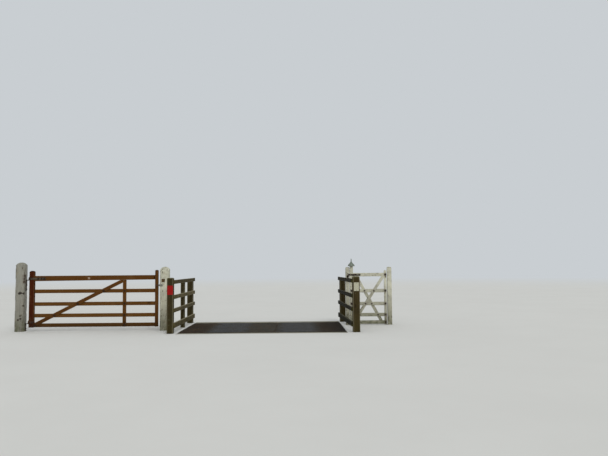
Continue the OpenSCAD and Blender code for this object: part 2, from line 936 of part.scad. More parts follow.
// Pointed cap on the head of the hanging stile
module wicket_cap() {
  r = cap_w / 2;
  color([0.7, 0.71, 0.7])
    translate([wicket_heel_x + wicket_heel_w / 2, wicket_mid, road_z + wicket_head])
      rotate_extrude()
        polygon([[0, 0], [r, 0], [r, cap_rim], [r * 0.8, cap_h * 0.24], [r * 0.4, cap_h * 0.42],
          [r * 0.16, cap_h * 0.62], [r * 0.08, cap_h], [0, cap_h]]);
}

pit_floor();
near_kerb();
far_kerb();
left_side_wall();
right_side_wall();
left_bearers();
right_bearers();
left_bars();
right_bars();
end_plates();
left_near_post();
left_middle_post();
left_far_post();
left_wing_rails();
left_top_rail();
right_near_post();
right_far_post();
right_wing_rails();
red_plate();
white_plate();
hanging_post();
shutting_post();
top_hook();
bottom_hook();
catch_plate();
square_plate();
gate_heel();
gate_toe();
gate_top_rail();
gate_rails();
gate_brace();
gate_upright();
top_strap();
bottom_strap();
gate_latch();
wicket_hanging_post();
wicket_slam_post();
wicket_hooks();
wicket_heel();
wicket_toe();
wicket_rails();
wicket_front_brace();
wicket_back_brace();
wicket_straps();
wicket_cap();
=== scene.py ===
"""A cattle grid with its wing fences, field gate and walkers' gate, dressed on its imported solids.

Metres, +Z up, +Y along the road, away from the viewer. The road surface is at ROAD."""
import json
import math
import random
from dataclasses import dataclass

import bmesh
import bpy
import numpy as np
from mathutils import Matrix, Vector, noise


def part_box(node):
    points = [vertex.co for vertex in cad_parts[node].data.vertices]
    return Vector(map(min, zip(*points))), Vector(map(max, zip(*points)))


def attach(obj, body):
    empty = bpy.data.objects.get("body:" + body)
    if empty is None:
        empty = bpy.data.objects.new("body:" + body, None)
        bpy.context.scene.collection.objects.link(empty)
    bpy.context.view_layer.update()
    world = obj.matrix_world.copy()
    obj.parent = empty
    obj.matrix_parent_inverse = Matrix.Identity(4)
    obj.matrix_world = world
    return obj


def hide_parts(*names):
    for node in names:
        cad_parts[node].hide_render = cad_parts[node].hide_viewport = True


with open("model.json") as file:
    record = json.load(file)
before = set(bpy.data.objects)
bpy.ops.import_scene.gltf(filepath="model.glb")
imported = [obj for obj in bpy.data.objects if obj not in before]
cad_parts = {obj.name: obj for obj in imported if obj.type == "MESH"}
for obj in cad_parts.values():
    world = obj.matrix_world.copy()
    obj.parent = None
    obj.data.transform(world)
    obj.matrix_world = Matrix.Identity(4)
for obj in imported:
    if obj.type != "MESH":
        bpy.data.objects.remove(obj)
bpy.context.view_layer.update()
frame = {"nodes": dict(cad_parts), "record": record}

bl_info = {
    "name": "Cattle grid",
    "version": (1, 0, 0),
    "blender": (4, 5, 0),
    "location": "View3D > Sidebar > Cattle Grid",
    "description": "Builds the concrete, steel, timber and ironwork of a cattle grid and its gates",
    "category": "Object",
}

SOLIDS = frame["nodes"]
BODIES = {node: body for body, nodes in frame["record"]["behaviour"]["bodies"].items() for node in nodes}
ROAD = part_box("near_kerb")[1].z


# Colours and nodes

def linear(code):
    """An sRGB hex colour as the linear RGBA that a shader reads."""
    parts = [int(code[i:i + 2], 16) / 255 for i in (1, 3, 5)]
    return [p / 12.92 if p <= 0.04045 else ((p + 0.055) / 1.055) ** 2.4 for p in parts] + [1.0]


def hexa(colour):
    """A colour property's linear value as an sRGB hex code."""
    parts = [12.92 * p if p <= 0.0031308 else 1.055 * p ** (1 / 2.4) - 0.055 for p in colour[:3]]
    return "#" + "".join(f"{round(255 * min(max(p, 0), 1)):02x}" for p in parts)


def join(tree, value, socket):
    """Links a socket to a node's output, or sets its value or hex colour."""
    if isinstance(value, bpy.types.NodeSocket):
        tree.links.new(value, socket)
    elif isinstance(value, str) and value.startswith("#"):
        socket.default_value = linear(value)
    else:
        socket.default_value = value


def add(tree, kind, inputs=(), take=0, stops=None, **settings):
    """Adds a node with its settings and links, and gives its output called take, or the node for None.

    Inputs go in order or by name, each a value, a hex colour or another node's output."""
    made = tree.nodes.new(kind if "Node" in kind else "ShaderNode" + kind)
    for key, value in settings.items():
        setattr(made, key, value)
    for key, value in inputs.items() if isinstance(inputs, dict) else enumerate(inputs):
        join(tree, value, made.inputs[key])
    if stops:
        ramp = made.color_ramp
        while len(ramp.elements) < len(stops):
            ramp.elements.new(1.0)
        for element, (place, colour) in zip(ramp.elements, stops):
            element.position = place
            element.color = linear(colour)
    return made if take is None else made.outputs[take]


def coats(tree, colour, *layers):
    """Lays colours over one another: each layer is its masks, how much of it shows, and its colour."""
    for *masks, shown, coat in layers:
        for mask in masks:
            shown = add(tree, "Math", (mask, shown), operation="MULTIPLY")
        colour = add(tree, "Mix", {0: shown, 6: colour, 7: coat}, 2, data_type="RGBA")
    return colour


def blotches(tree, vector, size, low, high, detail=4.0, stretch=(1, 1, 1)):
    """A 0 to 1 mask of irregular patches, each about size metres across."""
    scaled = add(tree, "Mapping", {"Vector": vector, "Scale": stretch})
    cloud = add(tree, "TexNoise", {"Vector": scaled, "Scale": 1 / size, "Detail": detail, "Roughness": 0.6})
    return add(tree, "MapRange", (cloud, low, high), interpolation_type="SMOOTHSTEP")


def band(tree, value, low, high, soft):
    """1 where value lies between low and high, falling to 0 over the soft edges."""
    rise = add(tree, "MapRange", (value, low - soft, low + soft), interpolation_type="SMOOTHSTEP")
    fall = add(tree, "MapRange", (value, high + soft, high - soft), interpolation_type="SMOOTHSTEP")
    return add(tree, "Math", (rise, fall), operation="MULTIPLY")


def above_road(tree, where):
    """The height above the road in metres."""
    return add(tree, "Math", (add(tree, "SeparateXYZ", (where,), 2), ROAD), operation="SUBTRACT")


def facing_up(tree):
    """How far a face looks up, from -1 to 1."""
    return add(tree, "SeparateXYZ", (add(tree, "NewGeometry", take="Normal"),), 2)


def darkened_low_down(tree, height):
    """A grey-brown coat that darkens paint more and more from waist height down to the ground."""
    return add(tree, "MapRange", (height, 1.0, 0.15)), 0.66, "#7a765f"


def timber_facts(tree):
    """What each timber's mesh carries: grain place, edge, crack, end, tone, stain and knot."""
    grain = add(tree, "Attribute", take="Vector", attribute_name="grain")
    facts = [grain]
    for label in ("marks", "stains"):
        apart = add(tree, "SeparateXYZ", (add(tree, "Attribute", take="Vector", attribute_name=label),), None)
        facts += apart.outputs[:]
    return facts


def growth(tree, grain):
    """Fibre streaks, year rings and knots in the timber's own coordinates, each 0 to 1."""
    # Fibres about 5 mm across and 0.3 m long, coarser than real ones so that they show.
    long_way = add(tree, "Mapping", {"Vector": grain, "Scale": (3.2, 190, 190)})
    fibre = add(tree, "TexNoise", {"Vector": long_way, "Scale": 1.0, "Detail": 5.0,
                                   "Roughness": 0.65, "Distortion": 0.3})
    # Year rings 9 mm apart round a pith outside the board, bent by slow noise.
    bent = add(tree, "Mapping", {"Vector": grain, "Scale": (1.1, 7, 7)})
    sway = add(tree, "TexNoise", {"Vector": bent, "Scale": 1.0, "Detail": 2.0})
    apart = add(tree, "SeparateXYZ", (grain,), None)
    flat = add(tree, "CombineXYZ", (0.0, apart.outputs[1], apart.outputs[2]))
    reach_out = add(tree, "VectorMath", (flat,), 1, operation="LENGTH")
    bend = add(tree, "Math", (sway, 26.0), operation="MULTIPLY")
    phase = add(tree, "Math", (reach_out, 2 * math.pi / 0.009, bend), operation="MULTIPLY_ADD")
    swing = add(tree, "Math", (phase,), operation="SINE")
    ring = add(tree, "Math", (swing, 0.5, 0.5), operation="MULTIPLY_ADD")
    # A knot about 30 mm across every half metre or so.
    spread = add(tree, "Mapping", {"Vector": grain, "Scale": (2.6, 9, 9)})
    cell = add(tree, "TexVoronoi", {"Vector": spread, "Scale": 1.0, "Randomness": 1.0})
    knots = add(tree, "MapRange", (cell, 0.16, 0.08), interpolation_type="SMOOTHSTEP")
    return fibre, ring, knots


def finish_shader(tree, shader, relief, depth, **inputs):
    """Links the shader's inputs and turns the relief, 1 standing for depth in metres, into bump."""
    inputs["Normal"] = add(tree, "Bump", {"Height": relief, "Distance": depth, "Strength": 1.0})
    for key, value in inputs.items():
        join(tree, value, shader.inputs[key.replace("_", " ")])


# Materials

def bare_softwood(tree, shader, where):
    """Bare sawn softwood, out for years: silvered fibres over brown, dark cracks, green where wet."""
    look = bpy.context.scene.grid_timber
    grain, edge, crack, end, tone, stain = timber_facts(tree)[:6]
    height, up = above_road(tree, where), facing_up(tree)
    fibre, ring, knots = growth(tree, grain)
    # Boards differ: tan where the rain reaches them, brown in between; the dark blue-grey is painted shade.
    tint = add(tree, "ValToRGB", (tone,), stops=[
        (0.0, hexa(look.rails)), (0.5, hexa(look.posts)), (1.0, hexa(look.painted_shade))])
    light = add(tree, "MapRange", (fibre, 0.28, 0.8, 0.45, 1.6))
    wood = add(tree, "HueSaturation", {"Value": light, "Color": tint})
    low = add(tree, "MapRange", (height, 0.5, 0.02, 0.0, 0.6))
    wet = add(tree, "Math", (low, end), operation="MAXIMUM")
    # Top faces are silvered by the weather; the silver there is also painted sky light.
    top = add(tree, "MapRange", (up, 0.4, 0.9, 0.0, 0.8))
    washed = add(tree, "Math", (edge, top), operation="MAXIMUM")
    # Less silver on the boards of dark tone, as painted shade.
    outside_painted_shade = add(tree, "MapRange", (tone, 0.3, 0.9, 1.0, 0.2))
    wood = coats(tree, wood,
                 (ring, 0.3, "#241d12"),
                 (blotches(tree, where, 0.3, 0.42, 0.62), 0.35, "#2e2917"),
                 (wet, blotches(tree, where, 0.06, 0.34, 0.6), 0.8, hexa(look.moss)),
                 # Top faces and upper arrises are washed to silver, on top faces also painted sky light; less
                 # so under painted shade.
                 (washed, outside_painted_shade, 0.75, hexa(look.silver_and_sky_light)),
                 (knots, 0.65, "#1b150d"),
                 (blotches(tree, where, 0.03, 0.62, 0.72), 0.3, "#85866f"),
                 (stain, 0.7, "#2b1d14"),
                 (crack, 0.9, "#100d08"))
    relief = add(tree, "Math", (ring, 0.35, fibre), operation="MULTIPLY_ADD")
    finish_shader(tree, shader, relief, 0.0022, Base_Color=wood, Roughness=0.92, IOR=1.35,
                  Specular_IOR_Level=0.3)


def stained_gate_timber(tree, shader, where):
    """Sawn gate timber under an old brown stain: fibres show through, washed paler on top edges."""
    look = bpy.context.scene.grid_timber
    grain, edge, crack, end, tone, stain, knot = timber_facts(tree)
    height, up = above_road(tree, where), facing_up(tree)
    fibre, ring, knots = growth(tree, grain)
    # The rails have bleached to a golden brown, the hanging stile has kept its deep red-brown.
    tint = add(tree, "ValToRGB", (tone,), stops=[(0.0, hexa(look.stain)), (1.0, hexa(look.deep_stain))])
    light = add(tree, "MapRange", (fibre, 0.28, 0.8, 0.6, 1.45))
    wood = add(tree, "HueSaturation", {"Value": light, "Color": tint})
    top = add(tree, "MapRange", (up, 0.5, 0.9))
    washed = add(tree, "Math", (edge, top), operation="MAXIMUM")
    low = add(tree, "MapRange", (height, 0.35, 0.05))
    wood = coats(tree, wood,
                 (ring, 0.28, "#301a0a"),
                 (blotches(tree, where, 0.2, 0.5, 0.72), 0.35, "#6f5130"),
                 (washed, blotches(tree, where, 0.05, 0.25, 0.6), 0.5, "#8f744a"),
                 (knots, 0.75, "#1f1107"),
                 # The bottom rail and the feet of the stiles are darker towards the ground.
                 (low, 0.75, "#2e2010"),
                 # Resin has pushed the stain off one knot and dried pale.
                 (add(tree, "MapRange", (knot, 0.35, 0.6)), 0.9, "#a8917d"),
                 (end, 0.75, "#241a10"),
                 (stain, 0.8, "#1d140d"),
                 (crack, 0.9, "#140b05"))
    relief = add(tree, "Math", (ring, 0.3, fibre), operation="MULTIPLY_ADD")
    finish_shader(tree, shader, relief, 0.0016, Base_Color=wood, Roughness=0.85, IOR=1.38,
                  Specular_IOR_Level=0.15)


def flaking_white_paint(tree, shader, where):
    """White gloss paint on timber, gone chalky: flaked to grey wood at arrises, streaked with algae."""
    look = bpy.context.scene.grid_timber
    grain, edge, crack, end, tone, stain, knot = timber_facts(tree)
    height, up = above_road(tree, where), facing_up(tree)
    fibre, _, knots = growth(tree, grain)
    wood = add(tree, "ValToRGB", (fibre,), stops=[(0.3, "#2f2a20"), (0.55, "#5b5443"), (0.8, "#857d69")])
    low = add(tree, "MapRange", (height, 0.42, 0.0))
    top = add(tree, "MapRange", (up, 0.5, 0.9, 0.0, 0.5))
    damp = add(tree, "Math", (low, top), operation="MAXIMUM")
    chalk = coats(tree, hexa(look.paint),
                  (blotches(tree, where, 0.18, 0.35, 0.7), 1.0, "#bdbba8"),
                  # Darker towards the ground.
                  darkened_low_down(tree, height),
                  # Grime lies thickest on the hanging post, in streaks as wide as a finger or two.
                  (tone, 0.9, hexa(look.grime)),
                  (tone, blotches(tree, where, 0.035, 0.42, 0.66, 4.0, (1, 1, 0.12)), 0.45, "#64625a"),
                  (blotches(tree, where, 0.025, 0.5, 0.72, 3.0, (1, 1, 0.07)), 0.3, "#8b8974"),
                  # Warm brown blooms where water stands behind the paint.
                  (blotches(tree, where, 0.09, 0.56, 0.72), 0.35, "#9a8a68"),
                  (damp, blotches(tree, where, 0.08, 0.3, 0.6), 0.8, "#565a38"))
    # Flakes 10 to 40 mm across, long with the grain, thickest at arrises, ends and near the ground.
    flake = add(tree, "Mapping", {"Vector": grain, "Scale": (9, 42, 42)})
    flake = add(tree, "TexNoise", {"Vector": flake, "Scale": 1.0, "Detail": 5.0, "Roughness": 0.6})
    loose = blotches(tree, where, 0.3, 0.38, 0.66)
    for mask, share in ((edge, 0.07), (loose, 0.05), (low, 0.07), (end, 0.04), (stain, 0.12)):
        flake = add(tree, "Math", (mask, share, flake), operation="MULTIPLY_ADD")
    gone = add(tree, "MapRange", (flake, 0.675, 0.69))
    # Dead knots have ragged edges, lose all their paint and rot black in the middle.
    rim = blotches(tree, where, 0.01, 0.25, 0.75)
    ragged = add(tree, "Math", (rim, 0.5, knot), operation="MULTIPLY_ADD")
    knot = add(tree, "MapRange", (ragged, 0.62, 0.72))
    rotten = add(tree, "MapRange", (ragged, 0.9, 1.15))
    colour = coats(tree, chalk,
                   (gone, 1.0, wood),
                   (knot, 0.95, "#372b1d"),
                   (rotten, 0.95, "#0d0a07"),
                   (knots, 0.25, "#8c8470"),
                   (stain, 0.85, "#4a3220"),
                   (add(tree, "MapRange", (stain, 0.55, 0.95)), 0.8, "#1d1611"),
                   (crack, 0.85, "#1a1711"))
    rough = add(tree, "Math", (gone, 0.3, 0.55), operation="MULTIPLY_ADD")
    relief = add(tree, "Math", (fibre, 0.35, gone), operation="MULTIPLY_ADD")
    relief = add(tree, "Math", (1.35, relief), operation="SUBTRACT")
    finish_shader(tree, shader, relief, 0.0009, Base_Color=colour, Roughness=rough, IOR=1.45)


def cast_concrete(tree, shader, where):
    """Old cast concrete: pale cement skin worn to stones of 8 to 15 mm, damp and tyre-dark in patches."""
    look = bpy.context.scene.grid_steelwork
    height = above_road(tree, where)
    paste = blotches(tree, where, 0.02, 0.3, 0.7, 5.0)
    stone = add(tree, "TexVoronoi", {"Vector": where, "Scale": 85.0}, None)
    grit = add(tree, "MapRange", (stone.outputs["Distance"], 0.42, 0.3))
    worn = add(tree, "Math", (grit, blotches(tree, where, 0.16, 0.4, 0.6)), operation="MULTIPLY")
    tint = add(tree, "Mix", {0: 0.8, 6: stone.outputs["Color"], 7: "#7a7362"}, 2, data_type="RGBA")
    below_road_shade_and_rust = add(tree, "MapRange", (height, -0.02, -0.14))
    colour = coats(tree, hexa(look.concrete),
                   (paste, 1.0, "#858272"),
                   (worn, 0.75, tint),
                   (blotches(tree, where, 0.45, 0.44, 0.64), 0.4, "#66624f"),
                   # Tyres leave dark rubber along both wheel tracks.
                   (blotches(tree, where, 0.4, 0.4, 0.7, 3.0, (1, 0.2, 1)), 0.25, "#4c4a44"),
                   # Below the road the pit walls are darkened as painted shade of the pit, with runs of rust.
                   (below_road_shade_and_rust, 0.62, "#413f30"),
                   (below_road_shade_and_rust, blotches(tree, where, 0.05, 0.52, 0.68, 4.0, (1, 1, 0.12)), 0.6, "#523520"))
    pores = add(tree, "TexNoise", {"Vector": where, "Scale": 260.0, "Detail": 3.0})
    skin = add(tree, "Math", (pores, paste))
    relief = add(tree, "Math", (worn, 0.8, skin), operation="MULTIPLY_ADD")
    finish_shader(tree, shader, relief, 0.0018, Base_Color=colour, Roughness=0.92, IOR=1.4)


def rolled_steel(tree, shader, where):
    """Hot-rolled steel: brown rust scale, scrubbed to bare metal on top where wheels run, its blue-grey tint
    painted sky reflection.
    """
    look = bpy.context.scene.grid_steelwork
    height, up = above_road(tree, where), facing_up(tree)
    scale = add(tree, "TexNoise", {"Vector": where, "Scale": 60.0, "Detail": 6.0, "Roughness": 0.65})
    rust = add(tree, "ValToRGB", (scale,), stops=[
        (0.3, "#20170f"), (0.48, hexa(look.rust)), (0.62, "#543c22"), (0.78, "#75502c")])
    across = add(tree, "SeparateXYZ", (where,), 0)
    wander = add(tree, "TexNoise", {"Vector": where, "Scale": 5.0, "Detail": 4.0})
    shift = add(tree, "Math", (wander, 0.5), operation="SUBTRACT")
    placed = add(tree, "Math", (shift, 0.35, across), operation="MULTIPLY_ADD")
    half = look.track / 2
    left = band(tree, placed, look.left_track - half, look.left_track + half, 0.12)
    right = band(tree, placed, look.right_track - half, look.right_track + half, 0.14)
    track = add(tree, "Math", (left, right), operation="MAXIMUM")
    traffic = band(tree, placed, look.left_track - half, look.right_track + half, 0.25)
    right_end_shade = add(tree, "MapRange", (across, 1.05, 1.75), interpolation_type="SMOOTHSTEP")
    level = add(tree, "MapRange", (up, 0.6, 0.95))
    running = add(tree, "MapRange", (height, -0.012, -0.003))
    top = add(tree, "Math", (level, running), operation="MULTIPLY")
    # Scuffs 6 mm wide run with the traffic.
    scuff = blotches(tree, where, 0.006, 0.22, 0.55, 3.0, (1, 0.06, 1))
    rubbed = add(tree, "Math", (track, scuff), operation="MULTIPLY")
    bright = add(tree, "Math", (top, rubbed), operation="MULTIPLY")
    # Between the tracks the rust is half rubbed off, outside them hardly at all.
    crumbs = add(tree, "Math", (traffic, 0.8, 0.2), operation="MULTIPLY_ADD")
    # The polished tops' blue-grey is painted sky reflection on bare steel.
    metal = add(tree, "Mix", {0: scale, 6: hexa(look.polish_and_sky_tint), 7: "#5d696f"}, 2, data_type="RGBA")
    colour = coats(tree, rust,
                   (blotches(tree, where, 0.3, 0.42, 0.6), 0.4, "#2a2116"),
                   # Painted shade darkens the right-hand end, which lies under trees.
                   (right_end_shade, 0.6, "#20180d"),
                   (top, blotches(tree, where, 0.012, 0.3, 0.6), crumbs, 0.85, "#5b6058"),
                   (bright, 1.0, metal))
    rough = add(tree, "Math", (bright, -0.45, 0.9), operation="MULTIPLY_ADD")
    shine = add(tree, "Math", (bright, 0.85), operation="MULTIPLY")
    finish_shader(tree, shader, scale, 0.0012, Base_Color=colour, Roughness=rough, Metallic=shine)


def hinge_iron(tree, shader, where):
    """Old galvanised ironwork: dull grey zinc worn through to brown rust, nearly black in patches."""
    look = bpy.context.scene.grid_steelwork
    hammered = add(tree, "TexNoise", {"Vector": where, "Scale": 95.0, "Detail": 2.0})
    bloom = blotches(tree, where, 0.02, 0.42, 0.6, 5.0)
    dark = blotches(tree, where, 0.05, 0.5, 0.66, 3.0)
    colour = coats(tree, hexa(look.iron),
                   (hammered, 0.5, "#6d6957"),
                   (bloom, 0.8, "#4a321f"),
                   (dark, 0.8, "#1c150e"))
    rough = add(tree, "Math", (bloom, 0.25, 0.6), operation="MULTIPLY_ADD")
    shine = add(tree, "MapRange", (bloom, 0.0, 1.0, 0.6, 0.0))
    finish_shader(tree, shader, hammered, 0.0008, Base_Color=colour, Roughness=rough, Metallic=shine)


def painted_iron(tree, shader, where):
    """Ironwork painted over with the timber's white, which rust has blown off in scabs."""
    look = bpy.context.scene.grid_timber
    height = above_road(tree, where)
    # The lower hinge has kept most of its paint, the top one very little.
    bare = add(tree, "MapRange", (height, 0.4, 1.2, 0.5, 0.36))
    cloud = add(tree, "TexNoise", {"Vector": where, "Scale": 38.0, "Detail": 5.0, "Roughness": 0.6})
    thin = add(tree, "Math", (cloud, bare), operation="SUBTRACT")
    scab = add(tree, "Math", (thin, 14.0), operation="MULTIPLY", use_clamp=True)
    rust = add(tree, "ValToRGB", (cloud,), stops=[(0.4, "#3a281a"), (0.6, "#1c150f"), (0.75, "#553820")])
    colour = coats(tree, hexa(look.paint),
                   (blotches(tree, where, 0.03, 0.4, 0.7), 0.5, "#8d7f63"),
                   # Darker towards the ground.
                   darkened_low_down(tree, height),
                   (scab, 1.0, rust))
    rough = add(tree, "Math", (scab, 0.3, 0.55), operation="MULTIPLY_ADD")
    finish_shader(tree, shader, scab, 0.0006, Base_Color=colour, Roughness=rough, IOR=1.45)


def rusty_fixing(tree, shader, where):
    """Steel bolts, nails and washers, zinc long gone: even brown rust with dark pits."""
    pits = blotches(tree, where, 0.006, 0.35, 0.65)
    colour = coats(tree, "#37261a", (pits, 1.0, "#1b140f"))
    finish_shader(tree, shader, pits, 0.0005, Base_Color=colour, Roughness=0.85, IOR=1.4)


def weld_metal(tree, shader, where):
    """Weld metal laid by hand: ripples 2 mm apart, dark with spatter and a bloom of rust."""
    ripple = add(tree, "TexWave", {"Vector": where, "Scale": 160.0, "Distortion": 2.0})
    colour = coats(tree, "#3a2c1d", (blotches(tree, where, 0.02, 0.4, 0.7), 1.0, "#5b3d22"))
    finish_shader(tree, shader, ripple, 0.0006, Base_Color=colour, Roughness=0.85, IOR=1.4)


def reflective_sheet(tree, shader, where, colour, dirt):
    """Reflective sheet on aluminium: a grid of fine cells under a clear skin, dulled by road dirt."""
    # The cells are 4.5 mm wide, coarser than real ones so that they show.
    cells = add(tree, "TexVoronoi", {"Vector": where, "Scale": 220.0, "Randomness": 0.0}, "Distance",
                feature="DISTANCE_TO_EDGE")
    wall = add(tree, "MapRange", (cells, 0.07, 0.02))
    grime = blotches(tree, where, 0.03, 0.45, 0.8)
    face = coats(tree, colour, (wall, 0.04, "#e8e4dc"), (grime, 0.5, dirt))
    rough = add(tree, "Math", (grime, 0.3, 0.5), operation="MULTIPLY_ADD")
    finish_shader(tree, shader, wall, 0.0002, Base_Color=face, Roughness=rough, IOR=1.4,
                  Specular_IOR_Level=0.15)


def painted_sheet(tree, shader, where, colour, faded, size):
    """Painted sheet metal: an even coat, faded in patches and chipped at small spots."""
    spots = blotches(tree, where, size, 0.58, 0.66, 5.0)
    coat = coats(tree, colour,
                 (blotches(tree, where, size * 4, 0.35, 0.7), 1.0, faded),
                 (spots, 1.0, "#3a2f1d"))
    rough = add(tree, "Math", (spots, 0.3, 0.5), operation="MULTIPLY_ADD")
    finish_shader(tree, shader, spots, 0.0003, Base_Color=coat, Roughness=rough, IOR=1.45)


def studio_floor(tree, shader, where):
    """A matt pale studio floor that runs into the background colour far from the object."""
    stage = bpy.context.scene.grid_stage
    fine = blotches(tree, where, 1.6, 0.2, 0.8)
    colour = coats(tree, hexa(stage.floor), (fine, 0.12, "#b9b8b2"))
    finish_shader(tree, shader, fine, 0.0005, Base_Color=colour, Roughness=0.9, Specular_IOR_Level=0.1)
    run = add(tree, "VectorMath", (where,), 1, operation="LENGTH")
    start, end = stage.reach * 0.35, stage.reach * 0.95
    fade = add(tree, "MapRange", (run, start, end), interpolation_type="SMOOTHSTEP")
    seen = add(tree, "Math", (fade, add(tree, "LightPath", take="Is Camera Ray")), operation="MULTIPLY")
    glow = add(tree, "Emission", {"Color": hexa(stage.backdrop), "Strength": 1.0})
    both = add(tree, "MixShader", (seen, shader.outputs[0], glow))
    join(tree, both, next(n for n in tree.nodes if n.type == "OUTPUT_MATERIAL").inputs[0])


# Each finish by its name: the function that fills in its nodes, and that function's own values
FINISHES = {
    "weathered_softwood": (bare_softwood,),
    "stained_gate_timber": (stained_gate_timber,),
    "flaking_white_paint": (flaking_white_paint,),
    "cast_concrete": (cast_concrete,),
    "rolled_steel": (rolled_steel,),
    "worn_hinge_iron": (hinge_iron,),
    "white_painted_iron": (painted_iron,),
    "rusty_fixings": (rusty_fixing,),
    "weld_metal": (weld_metal,),
    "red_reflective_sheet": (reflective_sheet, "#9a0907", "#5c0d09"),
    "white_reflective_sheet": (reflective_sheet, "#bcbaa3", "#938e77"),
    "yellow_paint": (painted_sheet, "#5c4410", "#2c1f08", 0.012),
    "grey_painted_sheet": (painted_sheet, "#7a8375", "#60675c", 0.01),
    "brown_painted_iron": (painted_sheet, "#54321a", "#3b2412", 0.008),
    "galvanised_iron": (painted_sheet, "#858579", "#6b6a60", 0.006),
    "studio_floor": (studio_floor,),
}


def finish_of(name):
    """A finish by its name, made on first use round a principled shader."""
    made = bpy.data.materials.get(name)
    if made is None:
        made = bpy.data.materials.new(name)
        made.use_nodes = True
        tree = made.node_tree
        tree.nodes.clear()
        shader = add(tree, "BsdfPrincipled", take=None)
        add(tree, "OutputMaterial", (shader.outputs[0],), None)
        fill_in, *values = FINISHES[name]
        fill_in(tree, shader, add(tree, "TexCoord", take="Object"), *values)
    return made


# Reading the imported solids

def split_solids(name):
    """The separate solids of a CAD node, in a steady order."""
    mesh = SOLIDS[name].data
    points = np.zeros(len(mesh.vertices) * 3)
    mesh.vertices.foreach_get("co", points)
    corners = np.zeros(len(mesh.loops), int)
    mesh.loops.foreach_get("vertex_index", corners)
    points, index = np.unique(np.round(points.reshape(-1, 3), 5), axis=0, return_inverse=True)
    tris = index.ravel()[corners].reshape(-1, 3)
    label = np.arange(len(points))
    while True:
        lower = label.copy()
        np.minimum.at(lower, tris.ravel(), np.repeat(label[tris].min(axis=1), 3))
        if (lower == label).all():
            break
        label = lower
    found = []
    for key in np.unique(label):
        own = tris[label[tris[:, 0]] == key]
        a, b, c = (points[own[:, i]] for i in range(3))
        normal = np.cross(b - a, c - a)
        area = np.linalg.norm(normal, axis=1)
        keep = area > 1e-9
        normal = normal[keep] / area[keep, None]
        found.append(Solid(points[label == key], normal, (normal * a[keep]).sum(axis=1), area[keep] / 2))
    return found


class Solid:
    """One convex solid of a CAD node, with the axes of the board or post that it is."""

    def __init__(self, points, normals, offsets, areas):
        self.points, self.normals, self.offsets = points, normals, offsets
        low, high = points.min(axis=0), points.max(axis=0)
        self.middle = (low + high) / 2
        # Through the board is square to the long faces with the largest area; the ends don't count.
        spread = np.linalg.eigh(np.cov((points - points.mean(axis=0)).T))[1][:, 2]
        side = np.abs(normals @ spread) < 0.25
        faces, sizes = normals[side], areas[side]
        weight = [sizes[np.abs(faces @ n) > 0.9999].sum() for n in faces]
        through = faces[int(np.argmax(weight))]
        rest = [n - through * (n @ through) for n in faces]
        across = max(rest, key=lambda n: np.linalg.norm(n))
        across = across / np.linalg.norm(across)
        along = np.cross(across, through)
        if along[np.argmax(np.abs(along))] < 0:
            along, across = -along, -across
        self.along, self.across, self.through = along, across, through
        run = (points - self.middle) @ along
        self.low, self.high = run.min(), run.max()

    def reach(self, start, way):
        """How far a point can go along way before it leaves the solid."""
        rate = self.normals @ way
        # Faces that lie along the way never stop it.
        ahead = rate > 0.004
        return float(((self.offsets[ahead] - self.normals[ahead] @ start) / rate[ahead]).min())

    def inside(self, at, margin):
        """The point, moved in if it lies nearer than the margin to a face or outside it."""
        over = self.normals @ at - self.offsets + margin
        worst = int(np.argmax(over))
        return at - self.normals[worst] * over[worst] if over[worst] > 0 else at

    def centred(self, share):
        """The middle of the section at a share of the length, and its half sizes across and through."""
        at = self.middle + self.along * (self.low + (self.high - self.low) * share)
        sizes = []
        for way in (self.across, self.through):
            plus, minus = self.reach(at, way), self.reach(at, -way)
            at = at + way * (plus - minus) / 2
            sizes.append((plus + minus) / 2)
        return at, sizes


def crossing(first, second, facing):
    """Where the middle lines of two boards cross, seen along facing, on the outermost face; or None."""
    margin, beyond = 0.012, 0.03  # kept from a board's end, and let go past it
    facing = np.array(facing, float)
    gap = second.middle - first.middle
    u, v = first.along, second.along
    side = np.cross(facing, u)
    if abs(v @ side) < 1e-6:
        return None
    t = -(gap @ side) / (v @ side)
    at = second.middle + v * t
    s = (at - first.middle) @ u
    held = first.low + margin < s < first.high - margin
    if not (held and second.low - beyond < t < second.high + beyond):
        return None
    t = min(max(t, second.low + margin), second.high - margin)
    at = first.middle + u * s
    ends = [at + facing * first.reach(at, facing)]
    beside = second.middle + v * t
    ends.append(beside + facing * second.reach(beside, facing))
    return at + facing * max((e - at) @ facing for e in ends)


# Timber

@dataclass
class Wear:
    """How boards and posts have worn, in metres, and how finely they are drawn."""
    radius: float = 0.004  # rounding of the arrises
    wave: float = 0.0012  # how far the faces have worn back
    cracks: int = 2  # drying cracks on each face that is wide enough
    gape: float = 0.0012  # half the width of a crack
    cut: float = 0.004  # depth of a crack
    tone: float = 0.5  # place on the finish's scale of tones, 0 to 1
    soft_end: float = 0.003  # rounding of the ends
    head: float = 0.04  # how far the damp creeps in from the ends
    rust: tuple = ()  # rust spots: middle, radius and length of the streak below
    knots: tuple = ()  # dead knots, written as the rust spots are
    spacing: float = 0.04  # from ring to ring along the board
    fine: float = 0.03  # from point to point round it
    rings: tuple = (0.9, 0.66, 0.33)  # shares of the section at which rings cross an end


